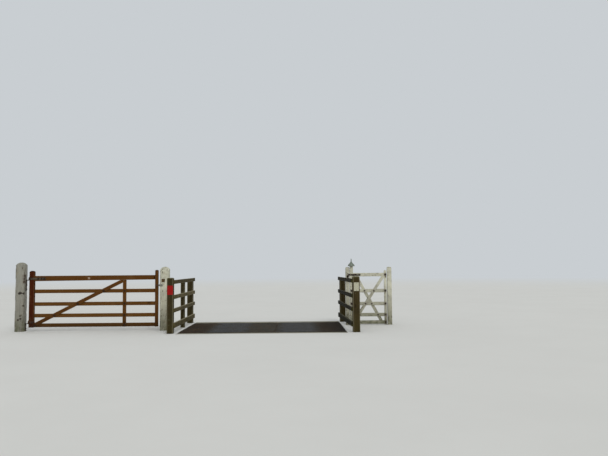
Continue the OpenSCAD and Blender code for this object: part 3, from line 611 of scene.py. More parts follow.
class Board:
    """A solid as a sawn board or post: its section, its drying cracks and its own grain."""

    def __init__(self, solid, wear, rng):
        self.solid, self.wear = solid, wear
        self.knees, sizes = zip(*(solid.centred(share) for share in (0.25, 0.75)))
        self.half = [(sizes[0][i] + sizes[1][i]) / 2 for i in (0, 1)]
        self.taper = [[size[i] / self.half[i] for i in (0, 1)] for size in sizes]
        self.radius = min(wear.radius, self.half[0] * 0.6, self.half[1] * 0.6)
        cracked = [side for side in range(4) if self.half[1 - side % 2] >= 0.02]
        self.cracks = [self.crack(side, k, rng) for side in cracked for k in range(wear.cracks)]
        # The year rings' pith lies outside the board.
        aside = [rng.choice((-1, 1)) * (self.half[i] + rng.uniform(0.02, 0.09)) for i in (0, 1)]
        self.shift = np.array((rng.uniform(2, 60), aside[0], aside[1]))
        self.tone = min(1.0, max(0.0, wear.tone + rng.uniform(-0.12, 0.12)))
        self.seed = rng.uniform(0, 99)

    def crack(self, side, k, rng):
        """One drying crack: its place on a side, how it sways, where it runs and its size."""
        begin = rng.choice((-0.1, -0.1, rng.uniform(0.1, 0.6)))
        return {"side": side, "x": (k + rng.uniform(0.25, 0.75)) * 2 / self.wear.cracks - 1,
                "sway": rng.uniform(0.05, 0.14), "from": begin, "to": begin + rng.uniform(0.25, 0.8),
                "seed": rng.uniform(0, 90), "gape": self.wear.gape * rng.uniform(0.4, 1.3),
                "depth": self.wear.cut * rng.uniform(0.4, 1.2)}

    def one_side(self, side, place, wide):
        """A side's points from arris to arris: (place, edge mark, crack depth)."""
        row, start = [(-wide, 0.6, 0.0)], -wide
        length = self.solid.high - self.solid.low
        for crack in sorted((c for c in self.cracks if c["side"] == side), key=lambda c: c["x"]):
            sway = noise.noise(Vector((place * length * 1.7 + crack["seed"], 0.0, self.seed)))
            x = wide * max(-0.86, min(0.86, crack["x"] + crack["sway"] * sway))
            into, left = (place - crack["from"]) / 0.08, (crack["to"] - place) / 0.08
            window = min(1.0, max(0.0, into), max(0.0, left))
            gape = max(0.0003, crack["gape"] * window)
            row.append(((start + x - gape) / 2, 0.0, 0.0))
            row += [(x - gape, 0.0, 0.0), (x, 0.0, crack["depth"] * window), (x + gape, 0.0, 0.0)]
            start = x + gape
        steps = max(1, round((wide - start) / self.wear.fine))
        row += [(start + (wide - start) * k / (steps + 1), 0.0, 0.0) for k in range(1, steps + 1)]
        return row + [(wide, 0.6, 0.0)]

    def ring(self, place):
        """The section's points anticlockwise: (across, through, outward, edge mark, crack depth)."""
        ring = []
        for side in range(4):
            turn = side * math.pi / 2
            out = (round(math.cos(turn)), round(math.sin(turn)))
            way = (-out[1], out[0])
            deep, wide = self.half[side % 2], self.half[1 - side % 2] - self.radius
            for q, mark, cut in self.one_side(side, place, wide):
                ring.append((out[0] * deep + way[0] * q, out[1] * deep + way[1] * q, out, mark, cut))
            corner = [out[i] * (deep - self.radius) + way[i] * wide for i in (0, 1)]
            for k in (1, 2):
                angle = turn + k * math.pi / 6
                n = (math.cos(angle), math.sin(angle))
                ring.append((corner[0] + self.radius * n[0], corner[1] + self.radius * n[1], n, 1.0, 0.0))
        return ring

    def fibre(self, x, y):
        """The start and end on the solid of the fibre that runs at a place of the section."""
        solid = self.solid
        ends = [self.knees[k] + solid.across * (x * self.taper[k][0]) + solid.through * (y * self.taper[k][1])
                for k in (0, 1)]
        way = ends[1] - ends[0]
        way = way / np.linalg.norm(way)
        inner = (ends[0] + ends[1]) / 2
        # A hair inwards, so that a fibre on a face isn't stopped by that face.
        inner = inner + (solid.middle - inner) * 1e-4
        return inner - way * solid.reach(inner, -way), inner + way * solid.reach(inner, way)

    def worn(self, share, x, y, out, mark, depth):
        """A ring's point on its long face at a share of the length, worn back, and its marks."""
        solid, wear = self.solid, self.wear
        begin, end = self.fibre(x, y)
        way = (end - begin) / np.linalg.norm(end - begin)
        at = begin + way * wear.soft_end + (end - begin - way * 2 * wear.soft_end) * share
        outward = solid.across * out[0] + solid.through * out[1]
        run = float((at - solid.middle) @ solid.along)
        sway = noise.noise(Vector((run * 2.3 + self.seed, x * 9, y * 9)))
        sway += 0.4 * noise.noise(Vector((run * 11 + self.seed, x * 31, y * 31)))
        back = max(0.0005, wear.wave * (0.7 + 0.5 * sway)) + depth
        if mark == 1.0:
            bite = noise.noise(Vector((run * 8 + self.seed, x * 5, y * 5)))
            back += 0.35 * self.radius * max(0.0, bite)
        # Arrises that look up are rain-washed, those that look down much less so.
        aside = at - (begin + end) / 2
        rise = (aside - way * (aside @ way))[2] + outward[2]
        level = outward[2] if abs(way[2]) < 0.9 else 0.0
        mark *= 0.75 + 0.25 * max(-1.0, min(1.0, level * 2 + rise))
        near = min(run - solid.low, solid.high - run)
        damp = max(0.0, 1 - near / wear.head) * 0.7
        return solid.inside(at - outward * back, 0.0004), (mark, min(1.0, depth / 0.0025), damp)


class TimberMesh:
    """The points and faces of worn boards, and what their finish reads at each point."""

    def __init__(self):
        self.points, self.faces = [], []
        self.facts = {"grain": [], "marks": [], "stains": []}

    def put(self, board, at, x, y, marks):
        """Adds a point that lies at a place of the board's section."""
        self.points.append(at)
        run = (at - board.solid.middle) @ board.solid.along
        self.facts["grain"].append(np.array((run, x, y)) + board.shift)
        self.facts["marks"].append(marks)
        spots = (stain_at(at, board.wear.rust), stain_at(at, board.wear.knots))
        self.facts["stains"].append((board.tone, *spots))

    def bridge(self, first, second, count, flip=False):
        """Faces between two closed rings of points."""
        for j in range(count):
            k = (j + 1) % count
            quad = (first + j, first + k, second + k, second + j)
            self.faces.append(quad[::-1] if flip else quad)

    def add_sides(self, board):
        """The long faces. Gives the first point of the ring at either end."""
        stations = max(4, round((board.solid.high - board.solid.low) / board.wear.spacing))
        first = len(self.points)
        for i in range(stations + 1):
            share = i / stations
            ring = board.ring(share)
            for x, y, out, mark, depth in ring:
                at, marks = board.worn(share, x, y, out, mark, depth)
                self.put(board, at, x, y, marks)
        for i in range(stations):
            self.bridge(first + i * len(ring), first + (i + 1) * len(ring), len(ring))
        return first, first + stations * len(ring)

    def add_end(self, board, end, edge):
        """The end grain at the start (0) or the end (1) of a board, from its edge ring inwards."""
        wear, ring = board.wear, board.ring(float(end))
        inward = board.solid.along * (-1 if end else 1)
        inset = 1 - wear.soft_end / min(board.half)
        for k in (inset, *wear.rings):
            here = len(self.points)
            for x, y, *_, depth in ring:
                at = board.fibre(x * k, y * k)[end] + inward * (wear.wave * 0.6 + depth * 0.6 * k)
                marks = (0.2 if k == inset else 0.0, min(1.0, depth / 0.004), 1.0)
                self.put(board, at, x * k, y * k, marks)
            self.bridge(edge, here, len(ring), flip=not end)
            edge = here
        self.put(board, board.fibre(0.0, 0.0)[end] + inward * wear.wave, 0.0, 0.0, (0.0, 0.3, 1.0))
        middle = len(self.points) - 1
        for j in range(len(ring)):
            tri = (edge + j, edge + (j + 1) % len(ring), middle)
            self.faces.append(tri if end else tri[::-1])


def stain_at(point, spots):
    """How strongly the nearest rust spot, with the streak that runs down from it, marks a point."""
    best = 0.0
    for centre, radius, run in spots:
        away = point - centre
        best = max(best, 1.3 - np.linalg.norm(away) / radius)
        if run > 0 and 0 < -away[2] < run:
            beside = math.hypot(away[0], away[1])
            best = max(best, 0.75 * (1 + away[2] / run) * (1.2 - beside / (radius * 0.8)))
    return min(1.0, max(0.0, best))


def timber(node, how, finish, wear):
    """Worn boards or posts for a CAD node: soft arrises, waves, drying cracks and end grain."""
    rng = random.Random(f"{node}_{how}")
    shape = TimberMesh()
    for solid in split_solids(node):
        board = Board(solid, wear, rng)
        for end, edge in enumerate(shape.add_sides(board)):
            shape.add_end(board, end, edge)
    mesh = bpy.data.meshes.new("timber")
    mesh.from_pydata([tuple(p) for p in shape.points], [], shape.faces)
    for label, values in shape.facts.items():
        carry(mesh, label, values)
    stand_in(node, how, mesh, finish)


# Other pieces

def carry(mesh, label, values):
    """Stores one vector for each point in the mesh."""
    store = mesh.attributes.new(label, "FLOAT_VECTOR", "POINT").data
    store.foreach_set("vector", np.array(values, np.float32).ravel())


def settle(name, mesh, body, finish, crease=38):
    """Links a finished mesh as a piece: its sharp edges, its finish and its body."""
    mesh.validate()
    mesh.name = name
    for polygon in mesh.polygons:
        polygon.use_smooth = True
    mesh.set_sharp_from_angle(angle=math.radians(crease))
    mesh.materials.clear()
    mesh.materials.append(finish)
    made = bpy.data.objects.new(name, mesh)
    bpy.context.scene.collection.objects.link(made)
    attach(made, body)
    return made


def stand_in(node, how, mesh, finish, crease=38):
    """Settles a mesh in a CAD node's place, on the node's own body, with the given finish."""
    made = settle(f"{node}_{how}", mesh, BODIES[node], finish, crease)
    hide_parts(node)


def dress(finish, *names):
    """Gives CAD nodes whose shape stays a finish."""
    for name in names:
        mesh = SOLIDS[name].data
        mesh.materials.clear()
        mesh.materials.append(finish)


def merged_copy(node):
    """A CAD node's mesh as welded faces, its flat sides in one face each."""
    work = bmesh.new()
    work.from_mesh(SOLIDS[node].data)
    bmesh.ops.remove_doubles(work, verts=work.verts, dist=1e-5)
    bmesh.ops.dissolve_limit(work, angle_limit=math.radians(1), verts=work.verts, edges=work.edges)
    return work


def finished(work):
    """A mesh from the work, which is freed."""
    mesh = bpy.data.meshes.new("work")
    work.to_mesh(mesh)
    work.free()
    return mesh


def eased(node, how, finish, width, dent=0.0):
    """A steel piece for a CAD node: its sharp edges rounded off, its faces slightly uneven."""
    work = merged_copy(node)
    sharp = [e for e in work.edges if len(e.link_faces) == 2 and e.calc_face_angle() > math.radians(35)]
    bmesh.ops.bevel(work, geom=sharp, offset=width, segments=2, profile=0.5, affect="EDGES",
                    clamp_overlap=True)
    for vert in work.verts:
        vert.co -= vert.normal * dent * abs(noise.noise(vert.co * 35))
    stand_in(node, how, finished(work), finish)


def cast(node, finish, step, chip):
    """A concrete piece for a CAD node: its long edges chipped, its faces uneven."""
    wave, coarse = 0.002, 0.045
    work = merged_copy(node)
    low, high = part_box(node)
    for axis, pitch in ((0, step), (1, coarse), (2, coarse)):
        cuts = round((high[axis] - low[axis]) / pitch)
        for k in range(1, cuts):
            at, way = Vector((0.0, 0.0, 0.0)), Vector((0.0, 0.0, 0.0))
            at[axis] = low[axis] + (high[axis] - low[axis]) * k / cuts
            way[axis] = 1.0
            bmesh.ops.bisect_plane(work, geom=work.verts[:] + work.edges[:] + work.faces[:],
                                   plane_co=at, plane_no=way)
    moves = []
    for vert in work.verts:
        normals = [f.normal for f in vert.link_faces]
        spread = min(a.dot(b) for a in normals for b in normals)
        worn = wave * (0.5 + 0.5 * noise.noise(vert.co * 14))
        if spread < 0.8:
            bite = noise.noise(vert.co * 17) + 0.5 * noise.noise(vert.co * 41) - 0.12
            worn += chip * (0.12 + max(0.0, bite))
        moves.append((vert, vert.normal * worn))
    for vert, move in moves:
        vert.co -= move
    stand_in(node, "cast", finished(work), finish, crease=50)


def plate(node, finish, corner, sag):
    """A sheet-metal plate for a CAD node, with rounded corners, eased edges and a slight bow."""
    board = split_solids(node)[0]
    middle, half = board.centred(0.5)
    half = (half[0], (board.high - board.low) / 2)
    thick = board.reach(middle, board.through)
    work = bmesh.new()
    rows = []
    # From the back: how far each row lies in from the edge, and its share of half the thickness
    for inset, depth in ((0.0, -1.0), (0.0, 0.72), (0.0007, 1.0), (0.012, 1.0)):
        row = []
        for side in range(4):
            sign = (1 if side in (0, 3) else -1, 1 if side < 2 else -1)
            for k in range(7):
                angle = side * math.pi / 2 + k * math.pi / 12
                x = sign[0] * (half[0] - corner) + (corner - inset) * math.cos(angle)
                y = sign[1] * (half[1] - corner) + (corner - inset) * math.sin(angle)
                bow = sag * noise.noise(Vector((x * 12, y * 12, 3.7)))
                lift = thick * depth - (abs(bow) if depth > 0 else 0.0)
                row.append(work.verts.new(
                    middle + board.across * x + board.along * y + board.through * lift))
        rows.append(row)
    for inner, outer in zip(rows, rows[1:]):
        for j in range(len(inner)):
            k = (j + 1) % len(inner)
            work.faces.new((inner[j], inner[k], outer[k], outer[j]))
    work.faces.new(rows[-1])
    work.faces.new(rows[0][::-1])
    bmesh.ops.recalc_face_normals(work, faces=work.faces)
    stand_in(node, "sheet", finished(work), finish)


# What repeats: bolts, nails and weld beads

def new_tree(name, *lengths):
    """A Geometry Nodes tree with its lengths, seed and finish as named inputs."""
    tree = bpy.data.node_groups.new(name, "GeometryNodeTree")
    inputs = [("Geometry", "Geometry"), *((label, "Float") for label in lengths),
              ("Seed", "Int"), ("Finish", "Material")]
    for label, kind in inputs:
        tree.interface.new_socket(label, in_out="INPUT", socket_type="NodeSocket" + kind)
    tree.interface.new_socket("Geometry", in_out="OUTPUT", socket_type="NodeSocketGeometry")
    return tree, add(tree, "NodeGroupInput", take=None).outputs


def close_tree(tree, geometry, finish):
    """Ends a tree in real geometry with its material."""
    real = add(tree, "GeometryNodeRealizeInstances", (geometry,))
    done = add(tree, "GeometryNodeSetMaterial", {"Geometry": real, "Material": finish})
    add(tree, "NodeGroupOutput", (done,), None)
    return tree


def raised(tree, shape, height):
    """A shape moved up along its own axis."""
    place = add(tree, "CombineXYZ", (0.0, 0.0, height))
    return add(tree, "GeometryNodeTransform", {"Geometry": shape, "Translation": place})


def aimed(tree, given, shape):
    """Copies of a shape on the points, each turned to the point's own direction and spun at random."""
    aim = add(tree, "GeometryNodeInputNamedAttribute", {"Name": "aim"}, data_type="FLOAT_VECTOR")
    turn = add(tree, "FunctionNodeAlignRotationToVector", {"Vector": aim}, axis="Z")
    spin = add(tree, "FunctionNodeRandomValue", {"Min": 0.0, "Max": 6.283, "Seed": given["Seed"]}, 1,
               data_type="FLOAT")
    spun = add(tree, "FunctionNodeAxisAngleToRotation", {"Axis": (0, 0, 1), "Angle": spin})
    turn = add(tree, "FunctionNodeRotateRotation", (turn, spun), rotation_space="LOCAL")
    return add(tree, "GeometryNodeInstanceOnPoints", {"Points": given["Geometry"], "Instance": shape,
                                                      "Rotation": turn})


def bolt_tree(name):
    """A six-sided head with eased top edges on a round washer."""
    tree, given = new_tree(name, "Head radius", "Head height", "Washer radius", "Washer thickness")
    radius, height, thick = given["Head radius"], given["Head height"], given["Washer thickness"]
    washer = add(tree, "GeometryNodeMeshCylinder",
                 {"Vertices": 16, "Radius": given["Washer radius"], "Depth": thick})
    washer = raised(tree, washer, add(tree, "Math", (thick, 0.5), operation="MULTIPLY"))
    shank = add(tree, "Math", (height, 0.75), operation="MULTIPLY")
    head = add(tree, "GeometryNodeMeshCylinder", {"Vertices": 6, "Radius": radius, "Depth": shank})
    head = raised(tree, head, add(tree, "Math", (shank, 0.5, thick), operation="MULTIPLY_ADD"))
    slim = add(tree, "Math", (radius, 0.8), operation="MULTIPLY")
    ease = add(tree, "Math", (height, 0.25), operation="MULTIPLY")
    cap = add(tree, "GeometryNodeMeshCone",
              {"Vertices": 6, "Radius Top": slim, "Radius Bottom": radius, "Depth": ease})
    cap = raised(tree, cap, add(tree, "Math", (shank, thick)))
    whole = add(tree, "GeometryNodeJoinGeometry", take=None)
    for part in (cap, head, washer):
        tree.links.new(part, whole.inputs[0])
    return close_tree(tree, aimed(tree, given, whole.outputs[0]), given["Finish"])


def nail_tree(name):
    """A flattened round head that bites a little into the wood."""
    tree, given = new_tree(name, "Head radius", "Head height")
    ball = add(tree, "GeometryNodeMeshUVSphere", {"Segments": 10, "Rings": 6, "Radius": 1.0})
    size = add(tree, "CombineXYZ", (given["Head radius"], given["Head radius"], given["Head height"]))
    head = add(tree, "GeometryNodeTransform", {"Geometry": ball, "Scale": size})
    return close_tree(tree, aimed(tree, given, head), given["Finish"])


def weld_tree(name):
    """A short fillet bead along X on each point, lumpy from end to end."""
    tree, given = new_tree(name, "Bead length", "Bead radius")
    half = add(tree, "Math", (given["Bead length"], 0.5), operation="MULTIPLY")
    back = add(tree, "Math", (half, -1.0), operation="MULTIPLY")
    start, end = (add(tree, "CombineXYZ", (reach, 0.0, 0.0)) for reach in (back, half))
    line = add(tree, "GeometryNodeMeshLine", {"Count": 9, "Start Location": start, "Offset": end},
               mode="END_POINTS")
    placed = add(tree, "GeometryNodeInstanceOnPoints", {"Points": given["Geometry"], "Instance": line})
    wire = add(tree, "GeometryNodeMeshToCurve", (add(tree, "GeometryNodeRealizeInstances", (placed,)),))
    lump = add(tree, "FunctionNodeRandomValue", {"Min": 0.75, "Max": 1.25, "Seed": given["Seed"]}, 1,
               data_type="FLOAT")
    wire = add(tree, "GeometryNodeSetCurveRadius", {"Curve": wire, "Radius": lump})
    ring = add(tree, "GeometryNodeCurvePrimitiveCircle", {"Resolution": 6, "Radius": given["Bead radius"]})
    bead = add(tree, "GeometryNodeCurveToMesh", {"Curve": wire, "Profile Curve": ring, "Fill Caps": True})
    return close_tree(tree, bead, given["Finish"])


TREES = {"bolt_heads": bolt_tree, "nail_heads": nail_tree, "weld_beads": weld_tree}


def repeat(name, kind, places, body, finish, sizes):
    """Runs one of the trees on a list of (point, direction) and keeps its plain mesh as one piece."""
    source = bpy.data.meshes.new(name)
    source.from_pydata([tuple(p) for p, way in places], [], [])
    carry(source, "aim", [tuple(way) for p, way in places])
    carrier = bpy.data.objects.new(name + "_points", source)
    bpy.context.scene.collection.objects.link(carrier)
    tree = bpy.data.node_groups.get(kind) or TREES[kind](kind)
    modifier = carrier.modifiers.new("repeat", "NODES")
    modifier.node_group = tree
    wanted = {**sizes, "Seed": 7, "Finish": finish}
    for item in tree.interface.items_tree:
        if item.in_out == "INPUT" and item.name in wanted:
            modifier[item.identifier] = wanted[item.name]
    ready = carrier.evaluated_get(bpy.context.evaluated_depsgraph_get())
    mesh = bpy.data.meshes.new_from_object(ready)
    bpy.data.objects.remove(carrier)
    bpy.data.meshes.remove(source)
    settle(name, mesh, body, finish, crease=30)


# Settings a user would change

def colour_property(name, description, code):
    """A colour setting with its default given as an sRGB hex code."""
    return bpy.props.FloatVectorProperty(name=name, description=description, subtype="COLOR", size=3,
                                         min=0, max=1, default=linear(code)[:3])


def length_property(name, description, default):
    """A length setting in metres."""
    return bpy.props.FloatProperty(name=name, description=description, unit="LENGTH", default=default)


class TimberSettings(bpy.types.PropertyGroup):
    """Colours of the fences and gates."""
    rails: colour_property("Tan timber", "Colour of the rain-washed fence rails", "#7d714e")
    posts: colour_property("Brown timber", "Colour of the fence posts", "#453a1e")
    # Painted shade: the right wing's rails are drawn darker, as if in shade.
    painted_shade: colour_property("Shaded timber", "Colour of the dark rails of the right wing", "#191b15")
    # Silvered timber, which on top faces also stands for painted sky light.
    silver_and_sky_light: colour_property("Silvered edges", "Colour of the washed arrises", "#9a937a")
    moss: colour_property("Moss", "Colour of the algae and moss on the fences", "#3d3b17")
    stain: colour_property("Gate stain", "Colour of the field gate's rails", "#6c481c")
    deep_stain: colour_property("Deep stain", "Colour of the field gate's hanging stile", "#481c06")
    paint: colour_property("White paint", "Colour of the sound white paint", "#dcdac2")
    grime: colour_property("Grime", "Colour of dirty white paint", "#807d74")


class SteelworkSettings(bpy.types.PropertyGroup):
    """Colours and wear of the grid, the ironwork and the concrete."""
    concrete: colour_property("Concrete", "Colour of the cement skin", "#a3a08f")
    rust: colour_property("Rust", "Colour of the rusted bars", "#3f301d")
    # Polished steel, with painted sky reflection in its blue-grey.
    polish_and_sky_tint: colour_property("Polished steel", "Colour of the bars in the wheel tracks", "#475358")
    iron: colour_property("Hinge iron", "Colour of the old zinc on the hinges", "#57503e")
    left_track: length_property("Left track", "Middle of the left wheel track", -0.8)
    right_track: length_property("Right track", "Middle of the right wheel track", 0.8)
    track: length_property("Track width", "Width of a polished wheel track", 0.86)


class FixingSettings(bpy.types.PropertyGroup):
    """Sizes of the bolts, nails and welds."""
    bolt: length_property("Bolt head", "Radius of a bolt head", 0.013)
    washer: length_property("Washer", "Radius of a bolt's washer", 0.02)
    nail: length_property("Nail head", "Radius of a nail head", 0.0065)
    bead: length_property("Weld bead", "Radius of a weld bead", 0.005)


class StageSettings(bpy.types.PropertyGroup):
    """The studio round the object."""
    floor: colour_property("Floor", "Colour of the studio floor", "#d6d6d1")
    backdrop: colour_property("Backdrop", "Colour behind the object", "#c9ced2")
    reach: length_property("Floor reach", "Distance from the middle to the floor's edge", 70.0)


# The pieces

# Ways along the road: toward the viewer and away
NEAR, FAR = (0, -1, 0), (0, 1, 0)


def middle_of(node):
    """The middle of a CAD node's box."""
    low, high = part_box(node)
    return (low + high) / 2


def both_faces(points, back):
    """The points on the near face, and the same points on the far face, where y is back."""
    return [(p, NEAR) for p in points] + [((p[0], back, p[2]), FAR) for p in points]


def crossings(rails, bars):
    """Where bars that are laid on rails cross them, on the near face."""
    found = [crossing(rail, split_solids(bar)[0], NEAR) for bar in bars for rail in rails]
    return [p for p in found if p is not None]


def bolts(name, places, body, scale=1.0):
    """Bolt heads with washers, in the size of the settings."""
    size = bpy.context.scene.grid_fixings
    sizes = {"Head radius": size.bolt * scale, "Head height": size.bolt * scale * 0.7,
             "Washer radius": size.washer * scale, "Washer thickness": 0.0025}
    repeat(name, "bolt_heads", places, body, finish_of("rusty_fixings"), sizes)


def nails(name, places, body):
    """Nail heads, in the size of the settings."""
    size = bpy.context.scene.grid_fixings.nail
    sizes = {"Head radius": size, "Head height": size * 0.4}
    repeat(name, "nail_heads", places, body, finish_of("rusty_fixings"), sizes)


def rail_nails(rails, posts, toward):
    """Two nails wherever a rail crosses a post, on the face that looks toward the road."""
    places = []
    for rail in (r for node in rails for r in split_solids(node)):
        facing = rail.through if rail.through @ np.array(toward) > 0 else -rail.through
        step = rail.across * rail.centred(0.5)[1][0] + rail.along * 0.012
        for post in (p for node in posts for p in split_solids(node)):
            at = crossing(rail, post, facing)
            if at is not None:
                places += [(at + step * k, facing) for k in (-0.5, 0.5)]
    return places


class BuildConcrete(bpy.types.Operator):
    """Build the pit: chipped kerbs, side walls and floor"""
    bl_idname = "cattlegrid.concrete"
    bl_label = "Concrete pit"

    def execute(self, context):
        skin = finish_of("cast_concrete")
        for kerb in ("near_kerb", "far_kerb"):
            cast(kerb, skin, step=0.02, chip=0.02)
        for wall in ("left_side_wall", "right_side_wall"):
            cast(wall, skin, step=0.06, chip=0.01)
        dress(skin, "pit_floor")
        return {"FINISHED"}


class BuildGrid(bpy.types.Operator):
    """Build the steel grid: bars, bearers, end plates and welds"""
    bl_idname = "cattlegrid.grid"
    bl_label = "Steel grid"

    def execute(self, context):
        steel = finish_of("rolled_steel")
        for node in ("left_bars", "right_bars", "end_plates"):
            eased(node, "worn", steel, width=0.0018, dent=0.0004)
        dress(steel, "left_bearers", "right_bearers")
        places = []
        for side in ("left", "right"):
            for bar in split_solids(side + "_bars"):
                low, high = bar.points.min(axis=0), bar.points.max(axis=0)
                for bearer in split_solids(side + "_bearers"):
                    x, z = bearer.middle[0], low[2] + 0.002
                    places += [((x, y, z), (1, 0, 0)) for y in (low[1], high[1])]
        sizes = {"Bead length": 0.07, "Bead radius": context.scene.grid_fixings.bead}
        weld = finish_of("weld_metal")
        repeat("bar_welds", "weld_beads", places, "installation", weld, sizes)
        return {"FINISHED"}


class BuildWings(bpy.types.Operator):
    """Build the two wing fences with their marker plates"""
    bl_idname = "cattlegrid.wings"
    bl_label = "Wing fences"

    def execute(self, context):
        bare = finish_of("weathered_softwood")
        left = ("left_near_post", "left_middle_post", "left_far_post")
        right = ("right_near_post", "right_far_post")
        post_wear = Wear(radius=0.012, wave=0.002, gape=0.0022, cut=0.009, spacing=0.05, head=0.09)
        for post in left + right:
            timber(post, "sawn", bare, post_wear)
        # The right wing's rails take the dark end of the tone scale, which is painted shade.
        for rails, tone in (("left_wing_rails", 0.2), ("left_top_rail", 0.3), ("right_wing_rails", 0.95)):
            timber(rails, "sawn", bare, Wear(wave=0.0018, tone=tone))
        plate("red_plate", finish_of("red_reflective_sheet"), corner=0.014, sag=0.0008)
        plate("white_plate", finish_of("white_reflective_sheet"), corner=0.012, sag=0.0006)
        places = rail_nails(("left_wing_rails", "left_top_rail"), left, (1, 0, 0))
        places += rail_nails(("right_wing_rails",), right, (-1, 0, 0))
        for node in ("red_plate", "white_plate"):
            sheet = split_solids(node)[0]
            facing = sheet.through if sheet.through[1] < 0 else -sheet.through
            for share in (0.09, 0.91):
                at, half = sheet.centred(share)
                places.append((at + facing * half[1], facing))
        nails("wing_nails", places, "installation")
        return {"FINISHED"}


# Dead knots on the front of the hanging post: aside, back and up from its middle at the road, and radius
POST_KNOTS = (
    (0.025, 0.008, 0.895, 0.04),
    (0.0, 0.008, 0.885, 0.03),
    (0.09, 0.035, 0.885, 0.034),
    (0.085, 0.035, 0.6, 0.032),
    (-0.015, 0.008, 0.27, 0.03),
    (0.045, 0.008, 0.3, 0.026),
    (0.035, 0.008, 0.365, 0.024),
)


class BuildGatePosts(bpy.types.Operator):
    """Build the field gate's two white posts with their ironwork"""
    bl_idname = "cattlegrid.gate_posts"
    bl_label = "Field gate posts"

    def execute(self, context):
        paint, iron = finish_of("flaking_white_paint"), finish_of("worn_hinge_iron")
        # Rings that follow the rounded heads
        domed = (0.985, 0.93, 0.84, 0.7, 0.5, 0.25)
        low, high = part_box("hanging_post")
        middle = middle_of("hanging_post")
        level = middle_of("top_hook").z
        # Rust has run from the hooks' plates round the corner of the post.
        spots = [(np.array((high.x - 0.02, low.y + 0.05, level + rise)), 0.045, 0.06)
                 for rise in (0.05, 0.12, 0.19)]
        spots.append((np.array((high.x, middle.y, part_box("bottom_hook")[0].z)), 0.06, 0.15))
        knots = [(np.array((middle.x + aside, low.y + back, ROAD + up)), radius, 0.0)
                 for aside, back, up, radius in POST_KNOTS]
        timber("hanging_post", "painted", paint,
               Wear(radius=0.07, wave=0.003, gape=0.0025, cut=0.012, rings=domed, tone=0.82, spacing=0.025,
                    fine=0.018, rust=spots, knots=knots, head=0.1))
        timber("shutting_post", "painted", paint,
               Wear(radius=0.055, wave=0.003, gape=0.0014, cut=0.006, cracks=1, rings=domed, tone=0.15,
                    spacing=0.03, head=0.02))
        hooks = ("top_hook", "bottom_hook")
        for node in hooks:
            eased(node, "forged", iron, width=0.0015, dent=0.0006)
        eased("catch_plate", "worn", finish_of("galvanised_iron"), width=0.0012)
        plate("square_plate", finish_of("yellow_paint"), corner=0.004, sag=0.0004)
        places = []
        for node in hooks:
            low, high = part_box(node)
            y, tall = (low.y + high.y) / 2, high.z - low.z
            # The bolts' places lie 8 mm in front of the backs of the plates, which are 6 mm thick.
            places += [((low.x + 0.008, y + side, low.z + tall * share), (1, 0, 0))
                       for share in (0.12, 0.42) for side in (-0.02, 0.02)]
        bolts("hook_bolts", places, "installation", scale=0.7)
        return {"FINISHED"}


class BuildFieldGate(bpy.types.Operator):
    """Build the stained field gate with its bands"""
    bl_idname = "cattlegrid.field_gate"
    bl_label = "Field gate"

    def execute(self, context):
        stain, iron = finish_of("stained_gate_timber"), finish_of("worn_hinge_iron")
        brown = finish_of("brown_painted_iron")
        rails = split_solids("gate_rails")
        through = crossings(rails, ("gate_brace", "gate_upright"))
        # Bolts through each band, at their distances from its free end
        banded = []
        for node, reaches in (("top_strap", (0.03, 0.09, 0.17, 0.36)), ("bottom_strap", (0.03, 0.085))):
            low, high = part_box(node)
            banded += [np.array((high.x - reach, low.y, middle_of(node).z)) for reach in reaches]
        spots = [(p, 0.035, 0.08) for p in through] + [(p, 0.045, 0.06) for p in banded]
        # The pale knot lies near the middle of the top rail.
        top = split_solids("gate_top_rail")[0]
        pale = [(np.array((-4.09, top.points[:, 1].min(), top.middle[2])), 0.035, 0.0)]
        for part, tone, radius in (("gate_heel", 0.95, 0.006), ("gate_toe", 0.3, 0.006),
                                   ("gate_top_rail", 0.25, 0.006), ("gate_rails", 0.12, 0.004),
                                   ("gate_brace", 0.3, 0.004), ("gate_upright", 0.2, 0.004)):
            timber(part, "stained", stain,
                   Wear(radius=radius, tone=tone, rings=(0.9, 0.75, 0.55, 0.3), rust=spots, knots=pale,
                        head=0.02, spacing=0.03, fine=0.02))
        # The top strap has kept some zinc; the others were stained over with the gate.
        for node, coat in (("top_strap", iron), ("bottom_strap", brown), ("gate_latch", brown)):
            eased(node, "forged", coat, width=0.0012, dent=0.0005)
        back = max(rail.points[:, 1].max() for rail in rails)
        bolts("brace_bolts", both_faces(through, back), "field_gate", scale=0.8)
        bolts("band_bolts", both_faces(banded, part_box("top_strap")[1].y), "field_gate")
        return {"FINISHED"}


